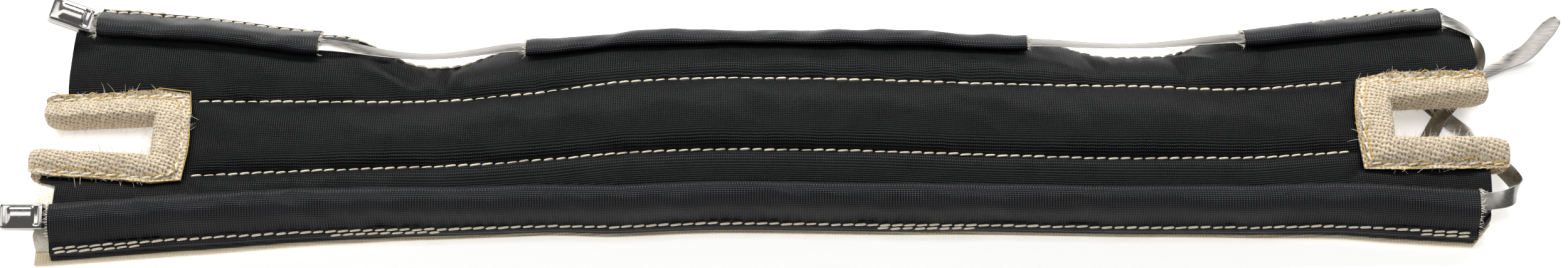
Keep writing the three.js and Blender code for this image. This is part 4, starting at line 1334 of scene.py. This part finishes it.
@dataclass
class NotchBinding:
    """Knitted tape folded over the cut edge of a notch, its stitches, aramid threads and loose fibres."""

    pattern: Pattern
    side: Side
    past_arm: float = 3.6
    end_round: float = 1.5
    end_size: float = 0.62
    corner_step: float = 0.87
    over_cover: float = 0.2
    nose_start: float = 0.4
    leg_corners: int = 22
    loop_height: float = 0.14
    limp_height: float = 0.5
    arm_rings: int = 92
    web_rings: int = 37
    web_share: float = 0.9
    nose_corners: int = 13
    inner_gap: float = 0.05
    seam_shift: float = 0.2
    seam_radius: float = 0.33
    seam_slant: float = 0.3
    aramid_insets: tuple[float, float] = (0.35, 1.9)
    aramid_waver: float = 0.7
    aramid_lift: float = 0.12
    aramid_radius: float = 0.13
    bare_ends: int = 4
    fibres: int = 1700
    fibre_radius: float = 0.05
    fibre_length: tuple[float, float] = (0.5, 2.3)

    @property
    def name(self) -> str:
        """Start of the pieces' names."""
        return self.side.name.lower()

    def path(self) -> CutEdge:
        """Follows the cut edge along one arm, the web and the other arm, with a smaller section at the ends.

        Returns:
            Places along the cut edge.
        """
        notch, outward = NOTCHES[self.side], float(self.side.value)
        into_web = -outward * TAPE_WEB_LEG / TAPE_LEG
        arms = []
        for way, past in ((-1, notch.lower_reach), (1, notch.upper_reach)):
            tip = notch.end + outward * (past + self.past_arm)
            x = np.linspace(tip, notch.web, self.arm_rings)[:-1]
            v = self.pattern.notch_centre(x) + way * self.pattern.notch_half(x)
            s = np.clip(np.abs(x - tip) / (self.past_arm + self.end_round), 0, 1)
            size = self.end_size + (1 - self.end_size) * np.sqrt(1 - (1 - s) ** 2)
            arm = np.stack([x, v, into_web * 0 * x, way + 0 * x, size])
            corner = np.array([[notch.web], [notch.web_centre + way * notch.web_half],
                               [into_web * self.corner_step], [way * self.corner_step], [1.0]])
            arms.append(np.hstack([arm, corner]))
        share = np.linspace(-self.web_share, self.web_share, self.web_rings)
        web = np.stack([notch.web + 0 * share, notch.web_centre + share * notch.web_half,
                        into_web + 0 * share, 0 * share, 1 + 0 * share])
        return CutEdge(*np.hstack([arms[0], web, arms[1][:, ::-1]]))

    def top(self, edge: CutEdge, depth: Array | float) -> Array:
        """Height of the upper leg's inner face: a little above the cover.

        Args:
            edge: Places along the cut edge.
            depth: Distance into the cloth.

        Returns:
            Heights above the underside.
        """
        return self.pattern.cover_top(*edge.at(np.maximum(depth, 0))) + GAP + self.over_cover

    def cut_width(self, x: Array, v: Array) -> float:
        """Width the tape is cut to: two legs of mean length, and a half ellipse round the layers' cut edge.

        The half perimeter is taken as pi times the root of half the sum of the squared half axes.

        Args:
            x: Stations along the cut edge.
            v: Distances across at the same places.

        Returns:
            Width in millimetres.
        """
        high = float(self.pattern.cover_top(x, v).mean()) / 2 + GAP + TAPE_THICKNESS / 2
        deep = GAP + TAPE_THICKNESS
        legs = TAPE_LEG + TAPE_WEB_LEG
        return legs + math.pi * math.sqrt((high * high + deep * deep) / 2)

    def skin(self, edge: CutEdge, reach: Array, face: Array, thickness: Array) -> Array:
        """One skin of the tape.

        Args:
            edge: Places along the cut edge, as columns.
            reach: Distance into the cloth of each corner of the section.
            face: 1 on the upper leg, 0 on the lower leg, and between them on the nose.
            thickness: Distance from the tape's inner face, upwards.

        Returns:
            Points, by ring and corner.
        """
        shrunk = mix(TAPE_LEG / 2, reach, edge.size)
        height = mix(-GAP, self.top(edge, reach), face) + thickness
        middle = self.pattern.cover_top(edge.x, edge.v) / 2
        return self.pattern.drape(*edge.at(shrunk), mix(middle, height, edge.size))

    def tape(self, path: CutEdge) -> Array:
        """Builds the folded tape: upper leg, round nose and lower leg, with raised knitted loops.

        Args:
            path: Places along the cut edge.

        Returns:
            Points of its outer skin, by ring and corner.
        """
        edge, nose, n = path.columns(), self.nose_start, self.leg_corners
        leg = np.linspace(TAPE_LEG, nose, n)
        turn = np.linspace(0, np.pi, self.nose_corners)[1:-1]
        depth = np.r_[leg, nose - (nose + GAP + TAPE_THICKNESS) * np.sin(turn), leg[::-1]]
        inner_depth = np.r_[leg, nose - (nose + GAP) * np.sin(turn), leg[::-1]]
        face = np.r_[np.ones(n), (1 + np.cos(turn)) / 2, np.zeros(n)]
        rise = np.r_[np.ones(n), np.cos(turn), -np.ones(n)]
        girth = run_length(np.stack([depth, face * 5 + rise], -1))
        knit_x, knit_v = edge.at(TAPE_LEG - girth)
        wales = np.sin(2 * np.pi * (knit_x + LOOP_SLANT * knit_v) / LOOP_PITCH)
        uneven = mix(0.6, 1.3, np.abs(value_noise(knit_x / 3, knit_v / 3, 310)))
        loops = self.loop_height * np.cos(2 * np.pi * knit_v / ROW_PITCH) * wales * uneven
        limp = self.limp_height * value_noise(knit_x / 5, knit_v / 5, 300 + self.side.value)
        outer = self.skin(edge, depth, face, rise * (TAPE_THICKNESS + loops + limp * face))
        inner = self.skin(edge, inner_depth, face, rise * self.inner_gap)
        place = np.stack([knit_x, knit_v], -1)
        rings = np.concatenate([outer, inner[:, ::-1]], 1)[None]
        parts = MeshParts()
        tubes(parts, rings, np.concatenate([place, place[:, ::-1]], 1)[None])
        tape = make_piece(f"{self.name}_binding", parts, Finish.TAPE, (f"{self.name}_notch_binding",))
        flat = (self.cut_width(path.x, path.v) / 1000, self.along(path)[-1] / 1000)
        return outer

    def along(self, path: CutEdge) -> Array:
        """Returns the length along the cut edge at each of its places."""
        return run_length(self.pattern.drape(path.x, path.v, 0 * path.x))

    def build(self) -> None:
        """Builds the tape, its seam, two wavering aramid threads and its loose fibres."""
        path = self.path()
        outer = self.tape(path)
        sewn = path.without_ends(self.bare_ends)
        depth = TAPE_SEAM - self.seam_shift
        parts = MeshParts()
        Stitching(self.pattern, radius=self.seam_radius, slant=self.seam_slant).row(
            parts, *sewn.at(depth), self.top(sewn, depth) + TAPE_THICKNESS, 400)
        make_piece(f"{self.name}_binding_stitching", parts, Finish.THREAD, (f"{self.name}_binding_seam",))

        along = self.along(path)[self.bare_ends : -self.bare_ends]
        parts = MeshParts()
        for k, inset in enumerate(self.aramid_insets):
            wander = self.aramid_waver * value_noise(along / 2.6, 0 * along + k, 500 + k)
            depth = TAPE_LEG - inset + wander
            height = self.top(sewn, depth) + TAPE_THICKNESS + self.aramid_lift
            thread = self.pattern.drape(*sewn.at(depth), height)
            cords(parts, thread[None], np.full((1, len(thread)), self.aramid_radius))
        make_piece(f"{self.name}_aramid_threads", parts, Finish.ARAMID)
        self.fuzz(outer)

    def fuzz(self, outer: Array) -> None:
        """Loose fibres that stand off the tape: a root, a direction and a bow, each from seeded chance.

        Args:
            outer: Points of the tape's outer skin, by ring and corner.
        """
        rng = np.random.default_rng(600 + self.side.value)
        n = self.fibres
        i, j = rng.integers(2, outer.shape[0] - 2, n), rng.integers(0, 36, n)
        root = outer[i, j]
        away = unit(rng.normal(0, 1, (n, 3)) + [0, 0, 0.7])
        bow = rng.normal(0, 0.5, (n, 3))
        length = rng.uniform(*self.fibre_length, (n, 1, 1))
        s = np.linspace(0, 1, 4)[:, None]
        paths = root[:, None] + length * (away[:, None] * s + bow[:, None] * s * s)
        paths[..., 2] = np.maximum(paths[..., 2], -0.3)
        parts = MeshParts()
        cords(parts, paths, np.full((n, 4), self.fibre_radius) * [1, 1, 0.8, 0.4], around=3)
        make_piece(f"{self.name}_loose_fibres", parts, Finish.FIBRE)


def through(points: Array, steps: int) -> Array:
    """Centripetal Catmull-Rom curve: cubic spans whose knots are spaced by the root of their distance.

    Args:
        points: Points the curve passes through.
        steps: Samples to a span.

    Returns:
        Points along the curve, the last point among them.
    """
    p = np.vstack([2 * points[0] - points[1], points, 2 * points[-1] - points[-2]])
    gap = np.maximum(np.linalg.norm(np.diff(p, axis=0), axis=1), 1e-6)[:, None] ** 0.5
    d0, d1, d2 = gap[:-2], gap[1:-1], gap[2:]
    p0, p1, p2, p3 = p[:-3], p[1:-2], p[2:-1], p[3:]
    m1 = ((p1 - p0) / d0 - (p2 - p0) / (d0 + d1) + (p2 - p1) / d1) * d1
    m2 = ((p2 - p1) / d1 - (p3 - p1) / (d1 + d2) + (p3 - p2) / d2) * d1
    t = (np.arange(steps) / steps)[None, :, None]
    p1, p2, m1, m2 = (a[:, None] for a in (p1, p2, m1, m2))
    curve = mix(p1, p2, 3 * t**2 - 2 * t**3) + m1 * (t**3 - 2 * t**2 + t) + m2 * (t**3 - t**2)
    return np.vstack([curve.reshape(-1, points.shape[1]), points[-1:]])


@dataclass
class Tie:
    """Ball-lock tie: a flat band that runs through its casing, with a folded head at the left."""

    pattern: Pattern
    name: str
    edge: Edge
    strap_at: float
    start: float
    stop: float
    head_offset: tuple[float, float, float]
    head_into: tuple[float, float, float]
    head_across: tuple[float, float, float]
    free_end: Array
    head_length: float = 11.0
    head_width: float = 6.9
    head_height: float = 4.2
    wall: float = 0.5
    ball_diameter: float = 2.2
    samples: int = 10
    cased_step: float = 1.6
    squareness: float = 0.32
    head_rings: int = 54
    head_corners: int = 72
    tip_share: float = 0.13
    tip_width: float = 0.84
    tip_height: float = 0.8
    channel_rise: float = 0.85
    channel_half: float = 1.75
    groove_depth: float = 0.22
    groove_half: float = 0.34
    slot_depth: float = 0.4
    slot_half: float = 2.3
    ball_gap: float = 0.2

    def cased(self, x: Array) -> tuple[Array, Array]:
        """Runs the band inside its casing, at a steady lift above the cover.

        Args:
            x: Stations along the shield.

        Returns:
            Middle points and width directions.
        """
        v = self.edge.value * (self.pattern.edge(self.edge, x) - self.strap_at)
        sides = [self.pattern.drape(x, s, self.pattern.cover_top(x, s) + TIE_LIFT)
                 for s in (v - BAND_WIDTH / 2, v + BAND_WIDTH / 2)]
        return (sides[0] + sides[1]) / 2, unit(sides[1] - sides[0])

    def head_axes(self) -> tuple[Array, Array]:
        """Places the head beside the end of its casing.

        Returns:
            The middle of the head, and its length, width and height directions as rows.
        """
        x = unit(np.array(self.head_into))
        z = unit(np.cross(x, np.array(self.head_across)))
        mouth = self.cased(np.array([self.start]))[0][0]
        return mouth + np.array(self.head_offset), np.stack([x, np.cross(z, x), z])

    def bare(self, x: Array, point: Array, across: Array) -> tuple[Array, Array]:
        """Lets the band hang across the scallops, lowest and most tilted in the middle of each.

        Args:
            x: Stations along the shield.
            point: Middle points of the band as if it were cased.
            across: Width directions.

        Returns:
            Middle points and width directions.
        """
        for s in SCALLOPS:
            t = (x - s.bare[0]) / (s.bare[1] - s.bare[0])
            hangs = ((t > 0) & (t < 1))[:, None]
            t = np.clip(t, 0, 1)[:, None]
            ends, turns = self.cased(np.array(s.bare))
            sag = (4 * t * (1 - t)) ** 2
            hung = mix(ends[0], ends[1], t) - sag * [0, s.sag_in, s.sag_down]
            level = mix(turns[0], turns[1], t)
            lean = -math.radians(s.tilt) * sag[:, 0]
            turned = np.stack([level[:, 0], level[:, 1] * np.cos(lean) - level[:, 2] * np.sin(lean),
                               level[:, 1] * np.sin(lean) + level[:, 2] * np.cos(lean)], -1)
            point, across = np.where(hangs, hung, point), np.where(hangs, turned, across)
        return point, across

    def frames(self) -> tuple[Array, Array]:
        """Whole course of the band: out of the head, along the casing, bare across scallops, free at the end.

        Returns:
            Middle points and width directions.
        """
        n = self.samples
        x = np.linspace(self.start, self.stop, round((self.stop - self.start) / self.cased_step))
        point, across = self.cased(x)
        if self.edge is Edge.FAR:
            point, across = self.bare(x, point, across)
        middle, axes = self.head_axes()
        floor = self.wall + GAP + BAND_THICKNESS / 2 - self.head_height / 2
        inside = middle + np.outer([-0.42, 0, 0.56], self.head_length * axes[0]) + floor * axes[2]
        lead = through(np.vstack([inside, point[:1]]), n)[:-1]
        turn = np.vstack([axes[[1, 1, 1]], across[:1]])
        lead_across = read_off(np.arange(4), turn, np.arange(len(lead)) / n)
        places = self.free_end[:, :3] + [point[-1, 0], point[-1, 1], 0]
        tail = through(np.vstack([point[-1:], places]), n)[1:]
        turn = np.vstack([across[-1:], unit(self.free_end[:, 3:])])
        tail_across = read_off(np.arange(len(turn)), turn, np.arange(1, len(tail) + 1) / n)
        return np.vstack([lead, point, tail]), unit(np.vstack([lead_across, across, tail_across]))

    def band(self) -> None:
        """Flat section with rounded edges, square to the course of the band and narrowed at its tip."""
        point, across = self.frames()
        along = unit(np.gradient(point, axis=0))
        up = unit(np.cross(along, across))
        across = np.cross(up, along)
        h, r = BAND_WIDTH / 2, BAND_THICKNESS / 2
        below = np.array([[-h, 0], [-h + 0.06, -0.8 * r], [-h + 0.16, -r], [0, -1.02 * r], [h - 0.16, -r],
                          [h - 0.06, -0.8 * r]])
        outline = np.vstack([below, -below])
        left = np.linalg.norm(np.diff(point, axis=0), axis=1)[::-1].cumsum()[::-1]
        taper = mix(0.45, 1, np.sqrt(np.clip(np.r_[left, 0] / 4, 0, 1)))[:, None, None]
        rings = point[:, None] + across[:, None] * outline[:, :1] * taper + up[:, None] * outline[:, 1:]
        places = np.stack(np.broadcast_arrays(np.r_[0, left][:, None], outline[:, 0]), -1)
        parts = MeshParts()
        tubes(parts, rings[None], places[None])
        make_piece(f"{self.name}_strip", parts, Finish.BAND, (f"{self.name}_band",))

    def pressing(self, inset: float) -> Array:
        """One skin of the head: a superellipse carried from the rounded tip to the casing.

        A channel with a groove along it is raised on the top and ends in a sunk slot.

        Args:
            inset: Distance in from the outer skin.

        Returns:
            Points, by ring and corner.
        """
        middle, axes = self.head_axes()
        a = np.linspace(-0.5, 0.5, self.head_rings)[:, None]
        angle = np.linspace(0, 2 * np.pi, self.head_corners, endpoint=False)[None]
        cos, sin = (np.sign(c) * np.abs(c) ** self.squareness for c in (np.cos(angle), np.sin(angle)))
        tip = np.sqrt(np.clip(1 - (1 - np.clip((a + 0.5) / self.tip_share, 0, 1)) ** 2, 0, 1))
        y = (self.head_width / 2 - inset) * mix(self.tip_width, 1, tip) * cos
        z = (self.head_height / 2 - inset) * mix(self.tip_height, 1, tip) * sin
        ridge = ease(a, -0.36, -0.22) * (1 - ease(a, 0.24, 0.3))
        slot = ease(a, 0.29, 0.32) * (1 - ease(a, 0.41, 0.44))
        channel = self.channel_rise * ridge * np.exp(-((y / self.channel_half) ** 4))
        groove = self.groove_depth * ridge * np.exp(-((y / self.groove_half) ** 2))
        sunk = self.slot_depth * slot * np.exp(-((y / self.slot_half) ** 6))
        lift = (channel - groove - sunk) * (z > 0)
        on_side = (np.abs(z) < self.head_height / 4) & (np.abs(y) > self.head_width / 2 - inset - 0.4)
        local = np.stack([a * self.head_length + 0 * y, y * (1 - 0.16 * on_side / 3.4), z + lift], -1)
        return middle + local @ axes

    def head(self) -> None:
        """Builds the head, a folded pressing with a wall."""
        outer, inner = self.pressing(0.0), self.pressing(self.wall)
        parts = MeshParts()
        sleeve(parts, outer, inner, outer[..., :2])
        make_piece(f"{self.name}_lock", parts, Finish.HEAD, (f"{self.name}_head",))

    def ball(self) -> None:
        """Builds the locking ball, which rests above the band in the middle of the head."""
        middle, axes = self.head_axes()
        lat = np.linspace(0.06, np.pi - 0.06, 15)[:, None]
        lon = np.linspace(0, 2 * np.pi, 24, endpoint=False)[None]
        r = self.ball_diameter / 2
        seat = self.wall + GAP + BAND_THICKNESS + self.ball_gap + r - self.head_height / 2
        level = np.sin(lat)
        shell = r * np.stack([level * np.cos(lon), level * np.sin(lon), np.cos(lat) + 0 * lon], -1)
        centre = middle - 0.05 * self.head_length * axes[0] + seat * axes[2]
        parts = MeshParts()
        tubes(parts, (centre + shell)[None], shell[None, ..., :2])
        make_piece(f"{self.name}_ball", parts, Finish.HEAD, (f"{self.name}_locking_ball",))

    def build(self) -> None:
        """Builds the band, the head and the locking ball."""
        self.band()
        self.head()
        self.ball()


# Free ends of the bands, from the casing's end: place along and across, height off the table, and direction
# of the band's width
NEAR_FREE_END = np.array([
    [4, 0.6, 9.4, 0, 0.97, 0.24], [7.5, 1.5, 9, 0.1, 0.93, 0.33], [10, 3.2, 8.3, 0.25, 0.88, 0.38],
    [11.5, 6.2, 6.8, 0.38, 0.83, 0.42], [10.7, 10.2, 4.8, 0.47, 0.81, 0.35],
    [8.2, 15.6, 2.5, 0.6, 0.77, 0.2], [2.9, 23.8, 0.6, 0.72, 0.69, 0], [-4.8, 31.7, 0.4, 0.72, 0.69, 0],
    [-9.2, 36.4, 0.6, 0.72, 0.69, -0.1], [-11.6, 38.5, 1.8, 0.19, 0.79, -0.58],
    [-9.3, 39.3, 2.6, -0.2, 0.95, -0.1], [-2.6, 40.9, 1.1, -0.3, 0.95, 0],
    [6.6, 44.6, 0.6, -0.37, 0.93, 0], [13.8, 47.8, 0.9, -0.3, 0.95, 0],
    [18.8, 49.4, 2.2, -0.45, 0.88, 0.1], [21.8, 51.6, 3.4, -0.65, 0.75, 0.1],
    [24.4, 54.4, 4.6, -0.7, 0.7, 0.1], [28.6, 58.6, 6, -0.7, 0.7, 0.1],
])
FAR_FREE_END = np.array([
    [3.6, -1.8, 10.2, 0, 0.93, -0.36], [7, -3.8, 9.9, -0.08, 0.9, -0.4], [9.2, -5.4, 8.8, -0.2, 0.86, -0.42],
    [10.2, -7.9, 7.2, -0.37, 0.82, -0.41], [10, -10.7, 5.5, -0.5, 0.78, -0.32],
    [8.4, -13.6, 4, -0.62, 0.74, -0.25], [7, -16.8, 3, -0.69, 0.66, -0.3],
    [3.4, -20.8, 2.7, -0.65, 0.61, -0.42], [-1.6, -26.8, 2.4, -0.65, 0.61, -0.42],
    [-5, -32.5, 2, -0.7, 0.66, -0.3],
    [-9, -38.2, 1.2, -0.74, 0.67, -0.1], [-14.5, -46, 0.8, -0.74, 0.67, 0],
])


def frayed_ends(pattern: Pattern, casings: list[Casing]) -> None:
    """Short glass fibres along the cut ends of the casings, from seeded chance.

    Args:
        pattern: Pattern of the shield.
        casings: Casings whose ends are frayed.
    """
    rng = np.random.default_rng(700)
    parts, per_end, radius = MeshParts(), 70, 0.06
    for casing in casings:
        outer = casing.outline()[0]
        outer = outer[outer[:, 1] > GAP + 0.9]
        for x, outward in ((casing.start, -1), (casing.stop, 1)):
            pick = outer[rng.integers(0, len(outer), per_end)]
            station = np.full(per_end, x)
            v = casing.edge.value * (pattern.edge(casing.edge, station) - pick[:, 0])
            root = pattern.drape(station, v, pattern.cover_top(station, v) + pick[:, 1] - 0.15)
            away = unit(rng.normal(0, 0.45, (per_end, 3)) + [outward * 1.3, 0, 0.1])
            s = np.linspace(0, 1, 4)[:, None]
            bow = rng.normal(0, 0.35, (per_end, 1, 3)) * s * s
            paths = root[:, None] + rng.uniform(0.4, 1.5, (per_end, 1, 1)) * (away[:, None] * s + bow)
            cords(parts, paths, np.full((per_end, 4), radius) * [1, 1, 0.8, 0.5], around=3)
    make_piece("casing_end_fibres", parts, Finish.FIBRE)


@dataclass(frozen=True)
class Lamp:
    """Soft rectangular light that faces the shield."""

    name: str
    place: tuple[float, float, float]
    size: tuple[float, float]
    power: float

    def build(self) -> None:
        """Builds the light."""
        lamp = bpy.data.lights.new(self.name, "AREA")
        lamp.shape, lamp.size, lamp.size_y, lamp.energy = "RECTANGLE", *self.size, self.power
        holder = bpy.data.objects.new(self.name, lamp)
        holder.location = self.place
        holder.rotation_euler = (-Vector(self.place)).to_track_quat("-Z", "Y").to_euler()
        bpy.context.scene.collection.objects.link(holder)


@dataclass
class Studio:
    """Floor, lights and camera, in metres."""

    elevation: float = 60.0
    distance: float = 0.8
    lens: float = 69.82
    floor_half: float = 6.0
    floor_glow: float = 0.36
    sky: float = 0.22
    lamps: tuple[Lamp, ...] = (
        Lamp("overhead", (0.0, 0.0, 1.7), (2.2, 0.8), 14),
        Lamp("behind", (0.0, 1.05, 0.95), (2.2, 0.3), 34),
        Lamp("left", (-1.2, -0.3, 0.9), (0.8, 0.8), 4),
    )

    def floor(self) -> None:
        """Builds the pale floor: one flat square under the shield."""
        h = self.floor_half
        mesh = bpy.data.meshes.new("floor")
        mesh.from_pydata([(-h, -h, 0), (h, -h, 0), (h, h, 0), (-h, h, 0)], [], [(0, 1, 2, 3)])
        # Painted board lit evenly from all sides
        material, shader = start_material("matt_white_board")
        set_inputs(material, shader, {
            "Base Color": linear("#f7f7f6"), "Roughness": 0.9, "Specular IOR Level": 0.2,
            "Emission Color": (1, 1, 1, 1), "Emission Strength": self.floor_glow,
        })
        mesh.materials.append(material)
        floor = bpy.data.objects.new("floor", mesh)
        bpy.context.scene.collection.objects.link(floor)

    def build(self) -> None:
        """Builds the studio, with the camera above the near side."""
        self.floor()
        for lamp in self.lamps:
            lamp.build()
        world = bpy.data.worlds.new("studio")
        bpy.context.scene.world = world
        world.use_nodes = True
        world.node_tree.nodes["Background"].inputs["Color"].default_value = (1, 1, 1, 1)
        world.node_tree.nodes["Background"].inputs["Strength"].default_value = self.sky
        bpy.context.scene.view_settings.view_transform = "Standard"
        data = bpy.data.cameras.new("camera")
        data.sensor_width, data.lens = 36.0, self.lens
        camera = bpy.data.objects.new("camera", data)
        target = Vector((FRAME_SHIFT[0], FRAME_SHIFT[1], 8.0 + FRAME_SHIFT[2])) / 1000
        tilt = math.radians(self.elevation)
        camera.location = target + self.distance * Vector((0, -math.cos(tilt), math.sin(tilt)))
        camera.rotation_euler = (math.radians(90 - self.elevation), 0, 0)
        data.clip_start = 0.01
        bpy.context.scene.collection.objects.link(camera)
        bpy.context.scene.camera = camera


def main() -> None:
    """Builds the studio, the blanket, its casings, bindings and seams, and the two ties."""
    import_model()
    Studio().build()
    pattern = Pattern()
    Blanket(pattern).build()
    left, right = SCALLOPS[0].bare, SCALLOPS[1].bare
    casings = [
        Casing(pattern, "near_casing_cloth", "near_casing", Edge.NEAR, 4.2, LEFT_END, RIGHT_END - 4),
        Casing(pattern, "far_casing_left_cloth", "far_casing_left", Edge.FAR, 3.2,
               LEFT_END + 6, left[0], 0.6),
        Casing(pattern, "far_casing_middle_cloth", "far_casing_middle", Edge.FAR, 3.2,
               left[1], right[0], 0.7),
        Casing(pattern, "far_casing_right_cloth", "far_casing_right", Edge.FAR, 3.2,
               right[1], RIGHT_END - 8.2, 0.6),
    ]
    for casing in casings:
        casing.build()
    frayed_ends(pattern, casings)
    Stitching(pattern).build()
    for side in Side:
        NotchBinding(pattern, side).build()
    Tie(pattern, "near_tie", Edge.NEAR, 9.6, LEFT_END, RIGHT_END - 4, (-6.7, -0.6, 1.1), (1, 0, 0),
        (0, 0.94, 0.34), NEAR_FREE_END).build()
    Tie(pattern, "far_tie", Edge.FAR, 8.9, LEFT_END + 6, RIGHT_END - 8.2, (-6.6, 0.6, 3.9),
        (0.84, -0.14, -0.36), (0.25, 0.93, 0.1), FAR_FREE_END).build()


if __name__ == "__main__":
    main()
